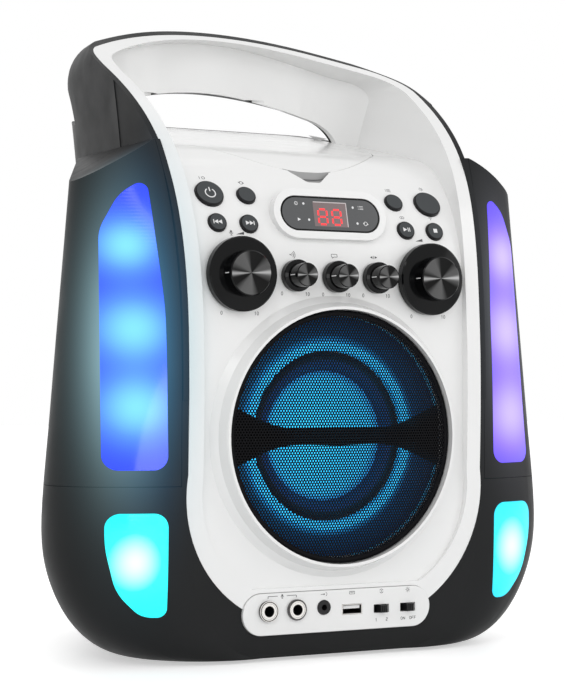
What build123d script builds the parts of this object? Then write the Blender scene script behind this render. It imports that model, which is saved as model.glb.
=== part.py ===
"""Portable karaoke machine: a disc well under a flip-up lid, a leaning hood that ends in a
carrying handle, a round lit speaker and lit wings.  Millimetres, +Z up, the front faces -Y."""
import os
from math import asin, cos, radians, sin, sqrt, tan

from build123d import *

os.makedirs("parts", exist_ok=True)

# ---------------------------------------------------------------- driving dimensions
WALL = 3.0                  # moulded shells
SEAM = 0.15                 # between two mouldings
FAR = 400.0                 # longer than the whole product, for cutting tools

# black body in plan: flat front, swept wings, round corners, converging sides
BOTTOM_Z = 2.0
REAR_Y = 106.5
WIDEST_HALF = 163.0
WIDEST_Z = 80.0
SIDE_TAPER = 0.081          # half width lost per mm above the widest height
CORNER_Y = -50.0
CORNER_RADIUS = 43.6
CORNER_TAPER = 0.0925
FLAT_HALF = 97.3            # the wings start here
BOTTOM_DROP = 56.0          # how far the round lower corners come in
WING_END = radians(33)      # heading where the wing's sweep meets the round corner
SIDE = radians(114)         # heading of the converging side
REAR_CORNER = 18.0
SHOULDER = ((106.7, 299.0), (146.5, 275.2))
LEVELS = [2.0, 4.0, 7.0, 12.0, 22.0, 40.0, 60.0, 92.0, 130.0, 165.0, 215.0, 256.0, 285.0, 306.0]

# side view of the front edge: nearly upright, then leaning back into the hood (y, z)
RIM_CURVE = [
    (-91.0, 0.0), (-94.4, 4.0), (-96.2, 12.0), (-96.8, 40.0), (-98.9, 92.0), (-100.8, 165.0),
    (-98.3, 215.0), (-91.0, 256.0), (-79.5, 285.0), (-59.5, 311.4), (-24.0, 339.0),
    (0.6, 353.0), (48.0, 374.0), (66.5, 384.0), (83.5, 393.0), (100.0, 401.0),
]

# arches of the hood, front view: foot half width, side end, corner end, top
ARCH_START_Z = 190.0
HOOD_ARCH = (101.0, (112.0, 349.0), (97.3, 374.1), 392.6)
LINER_ARCH = (97.3, (107.9, 347.5), (94.8, 369.5), 388.7)
MOUTH_ARCH = (88.0, (99.8, 346.0), (91.0, 362.5), 385.0)
HANDLE_ARCH = (88.6, (88.0, 316.0), (72.0, 338.0), 352.8)
HOOD_STATIONS = [(-112.0, 0.0, 0.0), (-15.0, 0.5, 0.0), (45.0, 6.5, 0.0), (70.0, 11.5, 0.0),
                 (88.0, 17.5, 1.0), (REAR_Y, 28.0, 10.0)]      # y, narrower by, lower by
BOWL_HALF = 106.0           # the hood's inside in plan
BOWL_START_Y = -20.0
BOWL_REAR_Y = 83.5
STRAP_CURVE = [(67.0, 323.5), (69.5, 329.0), (74.0, 337.0), (90.0, 350.0), (104.0, 360.0), (125.0, 378.0)]
DECK_HALF = 86.0
DECK_REAR_Y = 101.0

# front panel and deck, side view: upright, two arcs, a gentle slope
PANEL_Y = -94.7
PANEL_ARC_Z = 210.5
PANEL_RADIUS = 103.0
PANEL_BREAK = radians(47)
BROW_RADIUS = 65.6
DECK_LEAN = radians(77.9)

# disc lid and its hinge
LID_RADIUS = 78.0
LID_Y = 16.0
LID_GAP = 0.5
HINGE_Y = 88.5
HINGE_DEPTH = 3.0           # pin centre below the deck
PIN_RADIUS = 1.5
BARREL_HALF = 30.0

# disc drive, depths below the deck
WELL_RADIUS = 82.0
WELL_INNER = 79.0
WELL_FLOOR = 13.0
WELL_BASE = 15.5
DISC_DEPTH = 10.5
ROD_DEPTH = 20.5
ROD_RADIUS = 1.5
ROD_Y = 16.0

# speaker opening
SPEAKER_Z = 128.6
RING_FRONT_Y = -105.8
LEDGE_Y = -97.7
TUBE_RADIUS = 70.0
FLANGE_REAR_Y = -80.0

# jack plate
JACK_Z = 27.4
JACK_FRONT_Y = -98.2
MIC_X = (-46.4, -28.0)
MIC_Z = 29.3
AUX_X = -9.9
USB_X = 9.0
SWITCHES = [("function_switch", 28.9), ("light_switch", 47.0)]
SWITCH_Z = 27.1

# controls: name, x, panel lean in degrees, cap radius
BUTTONS = [
    ("power_button", -73.8, 34.1, 8.8), ("repeat_button", -50.0, 34.1, 5.9),
    ("previous_button", -73.2, 23.2, 5.7), ("next_button", -52.9, 23.2, 5.7),
    ("program_button", 50.0, 34.1, 5.9), ("light_show_button", 73.8, 34.1, 8.8),
    ("play_button", 52.9, 23.2, 5.7), ("stop_button", 73.2, 23.2, 5.7),
]
BOARD_LEAN = 28.6
KNOB_Z = 221.6
KNOB_FRONT_Y = -110.5
BIG_KNOBS = [("microphone_volume_knob", -63.2), ("master_volume_knob", 63.2)]
SMALL_KNOBS = [("echo_knob", -27.1), ("talk_over_knob", 0.0), ("balance_knob", 27.1)]


# ---------------------------------------------------------------- shape helpers
def rim_y(z):
    for (y0, z0), (y1, z1) in zip(RIM_CURVE, RIM_CURVE[1:]):
        if z <= z1:
            return y0 + (y1 - y0) * (z - z0) / (z1 - z0)
    return RIM_CURVE[-1][0]


def corner_drop(z):
    share = max(0.0, (WIDEST_Z - z) / (WIDEST_Z - BOTTOM_Z))
    return BOTTOM_DROP * (1.0 - sqrt(max(0.0, 1.0 - share ** 2)))


def shaped(base, join=(), keep=(), cut=()):
    """One piece: joined, then kept inside, then cut by other forms."""
    with BuildPart() as result:
        add(base)
        for form in join:
            add(form)
        for form in keep:
            add(form, mode=Mode.INTERSECT)
        for form in cut:
            add(form, mode=Mode.SUBTRACT)
    return result.part


def plan_outline(z, inset):
    """The body's outline at height z, moved inwards by inset."""
    above = max(0.0, z - WIDEST_Z)
    radius = CORNER_RADIUS - CORNER_TAPER * above
    centre_x = WIDEST_HALF - SIDE_TAPER * above - corner_drop(z) - radius
    radius -= inset
    start = (FLAT_HALF - 0.9 * corner_drop(z), rim_y(z) + inset)

    def on_corner(heading):
        return (centre_x + radius * sin(heading), CORNER_Y - radius * cos(heading))

    wing_end, side_start = on_corner(WING_END), on_corner(SIDE)
    rear = REAR_Y - inset
    meeting_x = side_start[0] + (rear - side_start[1]) / tan(SIDE)
    setback = REAR_CORNER * tan((radians(180) - SIDE) / 2)
    before = (meeting_x - setback * cos(SIDE), rear - setback * sin(SIDE))
    with BuildSketch(Plane.XY.offset(z)) as outline:
        with BuildLine():
            Line((0, start[1]), start)
            TangentArc(start, wing_end, tangent=(-cos(WING_END), -sin(WING_END)), tangent_from_first=False)
            ThreePointArc(wing_end, on_corner((WING_END + SIDE) / 2), side_start)
            Line(side_start, before)
            TangentArc(before, (meeting_x - setback, rear), tangent=(cos(SIDE), sin(SIDE)))
            Line((meeting_x - setback, rear), (0, rear))
            mirror(about=Plane.YZ)
        make_face()
    return outline.sketch


def body_form(inset=0.0):
    """The body between its bottom and its shoulders."""
    levels = [BOTTOM_Z + inset] + [z for z in LEVELS if z > BOTTOM_Z + inset + 0.5]
    (x0, z0), (x1, z1) = SHOULDER
    end_z = z0 + (z1 - z0) / (x1 - x0) * (FAR / 2 - x0)
    with BuildPart() as form:
        loft(sections=[plan_outline(z, inset) for z in levels])
        with BuildSketch(Plane.XZ.offset(-FAR / 2)):
            with BuildLine():
                Polyline((0, z0 - inset), (x0, z0 - inset), (FAR / 2, end_z - inset),
                         (FAR / 2, FAR), (0, FAR))
                mirror(about=Plane.YZ)
            make_face()
        extrude(amount=FAR, mode=Mode.SUBTRACT)
    return form.part


def arch_sketch(arch, plane, grow=0.0, drop=0.0, base_z=0.0, narrower=0.0):
    """Arch in a front-view plane: upright feet, leaning sides, tight corners, crowned top."""
    foot, side_end, corner_end, top = arch
    out = grow - narrower
    foot_top = (foot + out, min(ARCH_START_Z, side_end[1] - 25))
    side_top = (side_end[0] + out, side_end[1] - drop)
    corner_top = (corner_end[0] + out + 0.3 * (narrower - grow), corner_end[1] + 0.7 * grow - drop)
    with BuildSketch(plane) as outline:
        with BuildLine():
            Line((0, base_z), (foot + out, base_z))
            Line((foot + out, base_z), foot_top)
            side = TangentArc(foot_top, side_top, tangent=(0, 1))
            TangentArc(side_top, corner_top, tangent=side % 1)
            TangentArc((0, top + grow - drop), corner_top, tangent=(1, 0))
            mirror(about=Plane.YZ)
        make_face()
    return outline.sketch


def front_outline(arch, plane, grow=0.0, foot_end=(60.0, 30.0), via=(84.5, 52.6), turn_z=108.0):
    """The same arch with feet that round in towards a flat bottom edge."""
    foot, side_end, corner_end, top = arch
    side_top = (side_end[0] + grow, side_end[1])
    corner_top = (corner_end[0] + 0.7 * grow, corner_end[1] + 0.7 * grow)
    toe = (foot_end[0] + 0.7 * grow, foot_end[1] - grow)
    with BuildSketch(plane) as outline:
        with BuildLine():
            Line((0, toe[1]), toe)
            ThreePointArc(toe, (via[0] + 0.75 * grow, via[1] - 0.65 * grow), (foot + grow, turn_z))
            Line((foot + grow, turn_z), (foot + grow, ARCH_START_Z))
            side = TangentArc((foot + grow, ARCH_START_Z), side_top, tangent=(0, 1))
            TangentArc(side_top, corner_top, tangent=side % 1)
            TangentArc((0, top + grow), corner_top, tangent=(1, 0))
            mirror(about=Plane.YZ)
        make_face()
    return outline.sketch


def front_prism(sketch, depth):
    """Extrude a front-view sketch forwards."""
    with BuildPart() as block:
        add(sketch)
        extrude(amount=depth, dir=(0, -1, 0))
    return block.part


def view_plane(y):
    """Front-view plane at depth y."""
    return Plane.XZ.offset(-y)


def side_prism(sketch):
    with BuildPart() as block:
        add(sketch.moved(Location((-FAR / 2, 0, 0))))
        extrude(amount=FAR, dir=(1, 0, 0))
    return block.part


def behind_rim(back=0.0):
    """Side view: all that lies behind the leaning front edge."""
    points = [(y + back, z - back * 0.4) for y, z in RIM_CURVE]
    with BuildSketch(Plane.YZ) as region:
        with BuildLine():
            Spline(*points)
            Polyline(points[-1], (FAR, points[-1][1]), (FAR, points[0][1]), points[0])
        make_face()
    return region.sketch


BROW_CENTRE = (PANEL_Y + PANEL_RADIUS - (PANEL_RADIUS - BROW_RADIUS) * cos(PANEL_BREAK),
               PANEL_ARC_Z + (PANEL_RADIUS - BROW_RADIUS) * sin(PANEL_BREAK))
DECK_START = (BROW_CENTRE[0] - BROW_RADIUS * cos(DECK_LEAN), BROW_CENTRE[1] + BROW_RADIUS * sin(DECK_LEAN))


def deck_z(y):
    """Height of the sloping deck."""
    return DECK_START[1] + (y - DECK_START[0]) / tan(DECK_LEAN)


def on_panel(angle, below=0.0):
    reach = PANEL_RADIUS - below
    return (PANEL_Y + PANEL_RADIUS - reach * cos(angle), PANEL_ARC_Z + reach * sin(angle))


def on_brow(angle, below=0.0):
    reach = BROW_RADIUS - below
    return (BROW_CENTRE[0] - reach * cos(angle), BROW_CENTRE[1] + reach * sin(angle))


def before_panel(below=0.0):
    """Side view: all that lies in front of the panel and above the deck."""
    rise = (FAR * sin(DECK_LEAN), FAR * cos(DECK_LEAN))
    start = on_brow(DECK_LEAN, below)
    end = (start[0] + rise[0], start[1] + rise[1])
    with BuildSketch(Plane.YZ) as region:
        with BuildLine():
            Line((PANEL_Y + below, -20), on_panel(0, below))
            ThreePointArc(on_panel(0, below), on_panel(PANEL_BREAK / 2, below), on_panel(PANEL_BREAK, below))
            ThreePointArc(on_brow(PANEL_BREAK, below), on_brow((PANEL_BREAK + DECK_LEAN) / 2, below), start)
            Polyline(start, end, (end[0], FAR * 1.5), (-FAR, FAR * 1.5), (-FAR, -20), (PANEL_Y + below, -20))
        make_face()
    return region.sketch


def bowl_form(grow=0.0):
    """The hood's inside in plan: straight sides that round over into the handle's front face."""
    half, depth = BOWL_HALF + grow, BOWL_REAR_Y - BOWL_START_Y + grow
    points = [(half * share, BOWL_START_Y + depth * (1 - share ** 3) ** (1 / 3))
              for share in (0, 0.4, 0.65, 0.82, 0.94, 1)]
    with BuildPart() as form:
        with BuildSketch(Plane.XY.offset(-20)):
            with BuildLine():
                Spline(*points, tangents=[(1, 0), (0, -1)])
                Polyline((half, BOWL_START_Y), (half, -FAR), (0, -FAR))
                mirror(about=Plane.YZ)
            make_face()
        extrude(amount=FAR * 1.5)
    return form.part


def deck_plane(x=0.0, y=LID_Y, below=0.0):
    """Plane parallel to the deck; its normal points up and forwards."""
    normal = (0.0, -cos(DECK_LEAN), sin(DECK_LEAN))
    origin = (x, y - normal[1] * below, deck_z(y) - normal[2] * below)
    return Plane(origin=origin, x_dir=(1, 0, 0), z_dir=normal)


def panel_plane(x, degrees_lean, below=0.0):
    """Plane on the curved panel; its normal points out."""
    angle = radians(degrees_lean)
    y, z = on_panel(angle, below)
    return Plane(origin=(x, y, z), x_dir=(1, 0, 0), z_dir=(0, -cos(angle), sin(angle)))


def front_plane(x, y, z):
    return Plane(origin=(x, y, z), x_dir=(1, 0, 0), z_dir=(0, -1, 0))


def disc_on(plane, radius, depth, bore=0.0):
    """Round piece that runs inwards from a plane."""
    with BuildPart() as block:
        with BuildSketch(plane):
            Circle(radius)
            if bore:
                Circle(bore, mode=Mode.SUBTRACT)
        extrude(amount=-depth)
    return block.part


def block_on(plane, width, height, depth, corner=0.0):
    """Rectangular piece that runs inwards from a plane."""
    with BuildPart() as block:
        with BuildSketch(plane):
            if corner:
                RectangleRounded(width, height, corner)
            else:
                Rectangle(width, height)
        extrude(amount=-depth)
    return block.part


def slot_on(plane, width, height, depth):
    """Pill-shaped piece that runs inwards from a plane."""
    with BuildPart() as block:
        with BuildSketch(plane):
            SlotOverall(width, height)
        extrude(amount=-depth)
    return block.part


def turned(x, z, profile):
    """Body of revolution about a front-to-rear axis; the profile is (radius, y)."""
    with BuildPart() as piece:
        with BuildSketch(Plane(origin=(x, 0, z), x_dir=(0, 0, 1), z_dir=(-1, 0, 0))):
            with BuildLine():
                Polyline(*profile, close=True)
            make_face()
        revolve(axis=Axis((x, 0, z), (0, 1, 0)))
    return piece.part


def rod_along_x(x0, x1, y, z, radius):
    with BuildPart() as rod:
        with BuildSketch(Plane(origin=(x0, y, z), x_dir=(0, 1, 0), z_dir=(1, 0, 0))):
            Circle(radius)
        extrude(amount=x1 - x0)
    return rod.part


def mirrored(piece):
    with BuildPart() as other:
        add(piece)
        mirror(about=Plane.YZ, mode=Mode.REPLACE)
    return other.part


def save(piece, name):
    piece.label = name
    export_step(piece, f"parts/{name}.step")


# ---------------------------------------------------------------- forms shared by the mouldings
outer_body = body_form()
inner_body = body_form(inset=WALL)


def behind_strap(inset=0.0):
    """Side view: the open space behind the hood's side straps, above the deck."""
    curve = [(y - inset, z + inset) for y, z in STRAP_CURVE]
    with BuildSketch(Plane.YZ) as region:
        with BuildLine():
            Spline(*curve)
            Polyline(curve[-1], (160, curve[-1][1]), (160, deck_z(160) - inset),
                     (curve[0][0] - inset, deck_z(curve[0][0]) - inset), curve[0])
        make_face()
    return region.sketch


def hood_form(inset=0.0):
    """The hood's outside: arches that narrow and sink towards the rear."""
    with BuildPart() as form:
        stations = [(min(y, REAR_Y - inset), n, d) for y, n, d in HOOD_STATIONS]
        loft(sections=[arch_sketch(HOOD_ARCH, view_plane(y), grow=-inset, drop=d, base_z=150 + inset,
                                   narrower=n) for y, n, d in stations])
        add(side_prism(behind_rim(inset * 2)), mode=Mode.INTERSECT)
        add(side_prism(behind_strap(inset)), mode=Mode.SUBTRACT)
        with BuildSketch(Plane.XY.offset(100)):
            with Locations((0, REAR_Y - inset - 200)):
                RectangleRounded(240, 400, 52 - inset)
        extrude(amount=320, mode=Mode.INTERSECT)
    return form.part


def mouth_form(grow=0.0):
    """The open front of the white liner, down to the panel and back to the handle."""
    outline = front_outline(MOUTH_ARCH, view_plane(150), grow, (56.0, 42.0), (77.0, 61.0), 106.0)
    return shaped(front_prism(outline, 300), keep=[bowl_form(grow), side_prism(before_panel(grow))])


def deck_skin(thickness, seam=0.0):
    """The white deck, from the brow to behind the lid."""
    with BuildPart() as patch:
        with BuildSketch(Plane.XY.offset(250)):
            with Locations((0, (DECK_REAR_Y - 60) / 2)):
                RectangleRounded(2 * (DECK_HALF + seam), DECK_REAR_Y + 60 + 2 * seam, 22)
        extrude(amount=120)
    return shaped(patch.part, keep=[side_prism(before_panel(thickness))], cut=[side_prism(before_panel(-2))])


def liner_zone(seam=0.0):
    """Space the white moulding takes up, its mouth included."""
    outline = front_prism(front_outline(LINER_ARCH, view_plane(150), seam), 300)
    skin = shaped(rim_region, cut=[side_prism(behind_rim(WALL + seam))])
    return shaped(shaped(skin, join=[mouth_form(WALL + seam), deck_skin(WALL + seam, seam)]),
                  keep=[outline, rim_region])


rim_region = side_prism(behind_rim())
mouth = mouth_form()
handle_tunnel = shaped(front_prism(arch_sketch(HANDLE_ARCH, view_plane(150)), 110),
                       keep=[side_prism(before_panel())])
handle_wall = shaped(front_prism(arch_sketch(HANDLE_ARCH, view_plane(150), grow=WALL), 110),
                     keep=[side_prism(before_panel())])

# ---------------------------------------------------------------- white front, hood liner and deck
speaker_ring = turned(0, SPEAKER_Z, [
    (82.0, PANEL_Y + 2.5), (82.0, PANEL_Y), (78.0, -98.3), (75.9, RING_FRONT_Y + 1.0),
    (75.4, RING_FRONT_Y), (73.8, RING_FRONT_Y), (73.8, LEDGE_Y), (TUBE_RADIUS, LEDGE_Y),
    (TUBE_RADIUS, -83.0), (50.0, -83.0), (50.0, FLANGE_REAR_Y), (73.0, FLANGE_REAR_Y), (73.0, PANEL_Y + 2.5)])
speaker_hole = turned(0, SPEAKER_Z, [(0, -120), (73.4, -120), (73.4, -90.0), (0, -90.0)])
DISPLAY_LEAN = radians(13.6)


def display_plane(below=0.0):
    return Plane(origin=(0, -89.0 + below * cos(DISPLAY_LEAN), 258.7 - below * sin(DISPLAY_LEAN)),
                 x_dir=(1, 0, 0), z_dir=(0, -cos(DISPLAY_LEAN), sin(DISPLAY_LEAN)))


display_pod = slot_on(display_plane(), 75.4, 30.4, 17)
display_seat = slot_on(display_plane(-1), 66.9, 21.5, 3.2)
display_hollow = slot_on(display_plane(1), 62.0, 17.0, 30)
button_holes = [disc_on(panel_plane(x, lean, -3), radius + 0.25, 9) for _, x, lean, radius in BUTTONS]
board_posts = [disc_on(panel_plane(x, BOARD_LEAN, 2), 2.5, 13) for x in (-62, 62)]
knob_holes = [disc_on(front_plane(x, -98, KNOB_Z), 4.8, 12) for _, x in BIG_KNOBS + SMALL_KNOBS]
jack_pocket = slot_on(front_plane(0, -110, JACK_Z), 125.4, 24.6, 110 + PANEL_Y)
jack_passage = slot_on(front_plane(0, -110, JACK_Z), 117, 18, 30)

with BuildPart() as lid_opening:
    with BuildSketch(Plane.XY.offset(240)):
        with Locations((0, LID_Y)):
            Circle(LID_RADIUS + LID_GAP)
        with BuildLine():
            FilletPolyline((-16.5, -57), (16.5, -57), (13.6, -62), (4.5, -68.4), (-4.5, -68.4), (-13.6, -62),
                           radius=[0.5, 0.5, 4, 5, 5, 4], close=True)
        make_face()
    extrude(amount=110)
hinge_notch = block_on(deck_plane(0, HINGE_Y - 0.4, -3), 2 * BARREL_HALF + 0.8, 8.0, 9)
lugs = [block_on(deck_plane(side * (BARREL_HALF + 3.0), HINGE_Y + 0.6, 1.0), 5.0, 7.5, 6.5) for side in (-1, 1)]
pin_bore = rod_along_x(-60, 60, HINGE_Y, deck_z(HINGE_Y) - HINGE_DEPTH, PIN_RADIUS + 0.02)

front_baffle = shaped(liner_zone(), cut=[mouth, handle_tunnel])
front_baffle = shaped(front_baffle, join=[display_pod] + board_posts,
                      cut=[speaker_hole, lid_opening.part, jack_pocket, jack_passage, display_seat,
                           display_hollow] + button_holes + knob_holes)
front_baffle = shaped(front_baffle, join=[speaker_ring] + lugs, cut=[hinge_notch, pin_bore])
save(front_baffle, "front_baffle")

# ---------------------------------------------------------------- lit windows, front view
# corners as (x, z, radius), the right-hand side's
UPPER_WINDOW = [(108.8, 111, 8), (109.0, 200, 240), (115.0, 275.5, 4.5), (129.5, 266.5, 24), (139.9, 246, 26),
                (143.0, 111, 8)]
LOWER_WINDOW = [(108.8, 29, 5), (122, 29, 14), (136.0, 43, 30), (142.4, 68, 60), (142.4, 87, 8), (108.8, 87, 8)]



def window_outline(plane, corners, grow):
    """A closed outline of straight runs with a round at each corner."""
    with BuildSketch(plane) as outline:
        with BuildLine():
            FilletPolyline(*[(x, z) for x, z, _ in corners], radius=[radius for _, _, radius in corners],
                           close=True)
        make_face()
        if grow:
            offset(amount=grow)
    return outline.sketch


def upper_window(plane, grow=0.0):
    return window_outline(plane, UPPER_WINDOW, grow)


def lower_window(plane, grow=0.0):
    return window_outline(plane, LOWER_WINDOW, grow)


lens_back = body_form(inset=5.0)
lens_depth = shaped(outer_body, cut=[lens_back])
right_upper_light = shaped(front_prism(upper_window(view_plane(-62)), 70), keep=[lens_depth])
right_lower_light = shaped(front_prism(lower_window(view_plane(-62)), 70), keep=[lens_depth])
upper_hole = front_prism(upper_window(view_plane(-62), SEAM), 70)
lower_hole = front_prism(lower_window(view_plane(-62), SEAM), 70)
for side, piece in (("right", right_upper_light), ("left", mirrored(right_upper_light))):
    save(piece, f"{side}_upper_light")
for side, piece in (("right", right_lower_light), ("left", mirrored(right_lower_light))):
    save(piece, f"{side}_lower_light")

# ---------------------------------------------------------------- wing covers
hood_block = front_prism(arch_sketch(HOOD_ARCH, view_plane(150)), 300)
hood_clear = front_prism(arch_sketch(HOOD_ARCH, view_plane(150), grow=0.3), 300)


def cover_region(seam):
    with BuildPart() as region:
        with BuildSketch(view_plane(COVER_REAR_Y + seam)):
            with Locations((60 + 70, SEAM_Z - seam + 120)):
                RectangleRounded(140 - 2 * seam, 240, 3)
        extrude(amount=110)
    return region.part


COVER_REAR_Y = -25.0
SEAM_Z = 101.9
right_cover = shaped(outer_body, keep=[cover_region(0.0)], cut=[inner_body, hood_clear, upper_hole])
save(right_cover, "right_wing_cover")
save(mirrored(right_cover), "left_wing_cover")

# ---------------------------------------------------------------- black main shell
hood_outer = hood_form()
hood_inner = hood_form(WALL)
cover_gap = shaped(cover_region(0.3), cut=[hood_block])
body_cavity = shaped(inner_body, cut=[handle_wall])
hood_cavity = shaped(hood_inner, cut=[handle_wall])
dividers = []
for side in (-1, 1):
    with BuildPart() as divider:
        with Locations((side * 99.3, -81, 160)):
            Box(3.2, 38, 264)
    dividers.append(shaped(divider.part, keep=[outer_body]))


def rear_outline(plane, inset=0.0):
    with BuildSketch(plane) as outline:
        with BuildLine():
            Polyline((0, 14), (48, 14), (72, 46), (79, 95), (62, 312), (0, 312))
            mirror(about=Plane.YZ)
        make_face()
        fillet(outline.vertices(), 9)
        offset(amount=-inset)
    return outline.sketch


COVER_SCREWS = [(44, 22), (70, 62), (73, 150), (65.5, 240), (55, 305)]
screw_spots = [(side * x, z) for x, z in COVER_SCREWS for side in (-1, 1)]
rear_window = front_prism(rear_outline(view_plane(REAR_Y + 2), 11), 10)
shell_screw_holes = [disc_on(front_plane(x, 90, z), 1.5, 30) for x, z in screw_spots]
foot_spots = [(-58, -62), (58, -62), (-36, 88), (36, 88)]

liner_outline = front_prism(front_outline(LINER_ARCH, view_plane(150), SEAM), 300)
lip_space = shaped(side_prism(behind_rim(-2)), keep=[liner_outline],
                   cut=[side_prism(behind_rim(WALL + SEAM))])
mouth_space = shaped(mouth_form(WALL + SEAM), keep=[liner_outline])

main_shell = outer_body
for form in (lip_space, mouth_space, deck_skin(WALL + SEAM, SEAM), handle_tunnel, body_cavity, hood_cavity):
    main_shell = shaped(main_shell, join=[hood_outer] if form is lip_space else (), cut=[form])
main_shell = shaped(main_shell, join=[shaped(d, cut=[lip_space, mouth_space]) for d in dividers])
main_shell = shaped(main_shell, cut=[cover_gap, mirrored(cover_gap), lower_hole, mirrored(lower_hole),
                                     jack_pocket, jack_passage, rear_window] + shell_screw_holes)
save(main_shell, "main_shell")

# ---------------------------------------------------------------- rear cover, screws and feet
DC_SPOT = (-46.0, 46.0)
BOARD_Y = 90.0              # main board's rear face
BOARD_POSTS = [(-54, 60), (54, 60), (-54, 162), (54, 162)]
with BuildPart() as rear_cover:
    add(rear_outline(view_plane(REAR_Y)))
    extrude(amount=-4.0, dir=(0, -1, 0))
    for x, z in BOARD_POSTS:
        add(disc_on(front_plane(x, BOARD_Y, z), 4.0, REAR_Y - BOARD_Y + 1, bore=1.3))
    for x, z in screw_spots:
        add(disc_on(front_plane(x, 95, z), 1.7, 20), mode=Mode.SUBTRACT)
        add(disc_on(front_plane(x, REAR_Y + 1.9, z), 3.7, 5), mode=Mode.SUBTRACT)
    add(disc_on(front_plane(DC_SPOT[0], 95, DC_SPOT[1]), 4.2, 20), mode=Mode.SUBTRACT)
vent_slots = []
for row in range(8):
    for column in (-42, 0, 42):
        vent_slots.append(slot_on(front_plane(column, 95, 205 + 8 * row), 34, 2.8, 20))
rear_cover = shaped(rear_cover.part, cut=vent_slots)
save(rear_cover, "rear_cover")

with BuildPart() as case_screws:
    for x, z in screw_spots:
        add(disc_on(front_plane(x, REAR_Y + 1.9, z), 3.3, 2.0))
        add(disc_on(front_plane(x, 96.0, z), 1.4, REAR_Y + 2.0 - 96.0))
        with BuildSketch(front_plane(x, REAR_Y + 4.0, z)):
            Rectangle(4.2, 0.8)
            Rectangle(0.8, 4.2)
        extrude(amount=1.0, mode=Mode.SUBTRACT)
save(case_screws.part, "case_screws")

with BuildPart() as feet:
    for x, y in foot_spots:
        with BuildSketch(Plane((x, y, 0))):
            Circle(8.5)
        extrude(amount=BOTTOM_Z)
    chamfer(feet.edges().group_by(Axis.Z)[0], 0.6)
save(feet.part, "feet")

# ---------------------------------------------------------------- rear electronics
with BuildPart() as main_board:
    with BuildSketch(view_plane(BOARD_Y)):
        with Locations((0, 111)):
            RectangleRounded(122, 118, 4)
            with Locations(*[(x, z - 111) for x, z in BOARD_POSTS]):
                Circle(1.4, mode=Mode.SUBTRACT)
    extrude(amount=1.6, dir=(0, -1, 0))
    parts = [(-40, 80, 22, 14, 9), (-10, 84, 12, 12, 14), (8, 84, 12, 12, 14), (-44, 140, 26, 26, 3),
             (-4, 130, 30, 14, 4), (40, 80, 10, 24, 8), (42, 110, 18, 10, 6)]
    for x, z, width, height, tall in parts:
        with BuildSketch(view_plane(BOARD_Y - 1.6)):
            with Locations((x, z)):
                Rectangle(width, height)
        extrude(amount=tall, dir=(0, -1, 0))
save(main_board.part, "main_board")

with BuildPart() as heat_sink:
    with BuildSketch(view_plane(BOARD_Y - 1.6)):
        with Locations((36, 146)):
            Rectangle(44, 3)
            with GridLocations(6, 0, 8, 1):
                with Locations((0, 9)):
                    Rectangle(1.6, 18)
            with Locations((0, -4)):
                Rectangle(30, 8)
    extrude(amount=22, dir=(0, -1, 0))
save(heat_sink.part, "heat_sink")

x, z = DC_SPOT
dc_inlet = turned(x, z, [(0, BOARD_Y), (4.1, BOARD_Y), (4.1, REAR_Y + 3.6), (2.75, REAR_Y + 3.6),
                         (2.75, BOARD_Y + 6), (1.0, BOARD_Y + 6), (1.0, REAR_Y + 2.6), (0, REAR_Y + 2.6)])
save(dc_inlet, "dc_inlet")

# ---------------------------------------------------------------- light boards behind the wings
with BuildPart() as light_board:
    with BuildSketch(view_plane(-64.4)):
        with Locations((118.6, 142)):
            RectangleRounded(35.4, 214, 3)
    extrude(amount=1.6, dir=(0, -1, 0))
    with BuildSketch(view_plane(-66.0)):
        with Locations([(122, 245), (122, 205), (124, 165), (124, 130), (122, 62)]):
            RectangleRounded(5, 5, 1)
    extrude(amount=1.6, dir=(0, -1, 0))
save(light_board.part, "right_light_board")
save(mirrored(light_board.part), "left_light_board")

# ---------------------------------------------------------------- speaker stack, about a front-to-rear axis
flat_y, apex_y, grille_radius, sheet = -102.4, -108.3, 73.4, 1.2
dome = (grille_radius ** 2 + (flat_y - apex_y) ** 2) / (2 * (flat_y - apex_y))


def dome_y(radius, skin):
    return apex_y + dome - sqrt((dome - skin) ** 2 - radius ** 2)


with BuildPart() as speaker_grille:
    with BuildSketch(Plane(origin=(0, 0, SPEAKER_Z), x_dir=(0, 0, 1), z_dir=(-1, 0, 0))):
        with BuildLine():
            rim, lip = (grille_radius, dome_y(grille_radius, 0)), grille_radius - 2
            ThreePointArc((0, dome_y(0, 0)), (40, dome_y(40, 0)), rim)
            Polyline(rim, (grille_radius, LEDGE_Y), (lip, LEDGE_Y), (lip, dome_y(lip, sheet)))
            ThreePointArc((lip, dome_y(lip, sheet)), (40, dome_y(40, sheet)), (0, dome_y(0, sheet)))
            Line((0, dome_y(0, sheet)), (0, dome_y(0, 0)))
        make_face()
    revolve(axis=Axis((0, 0, SPEAKER_Z), (0, 1, 0)))
save(speaker_grille.part, "speaker_grille")

BAR_FLARE = [(-69, 18), (-57, 12.6), (-40, 6.4), (0, 5.4), (40, 6.4), (57, 12.6), (69, 18)]  # x, half height
with BuildPart() as bridge_bar:
    with BuildSketch(view_plane(-94.7)):
        with BuildLine():
            Spline(*[(x, SPEAKER_Z + half) for x, half in BAR_FLARE])
            Line((69, SPEAKER_Z + 18), (69, SPEAKER_Z - 18))
            Spline(*[(x, SPEAKER_Z - half) for x, half in reversed(BAR_FLARE)])
            Line((-69, SPEAKER_Z - 18), (-69, SPEAKER_Z + 18))
        make_face()
        with Locations((0, SPEAKER_Z)):
            Circle(TUBE_RADIUS, mode=Mode.INTERSECT)
    extrude(amount=2.8, dir=(0, -1, 0))
save(bridge_bar.part, "bridge_bar")

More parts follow.
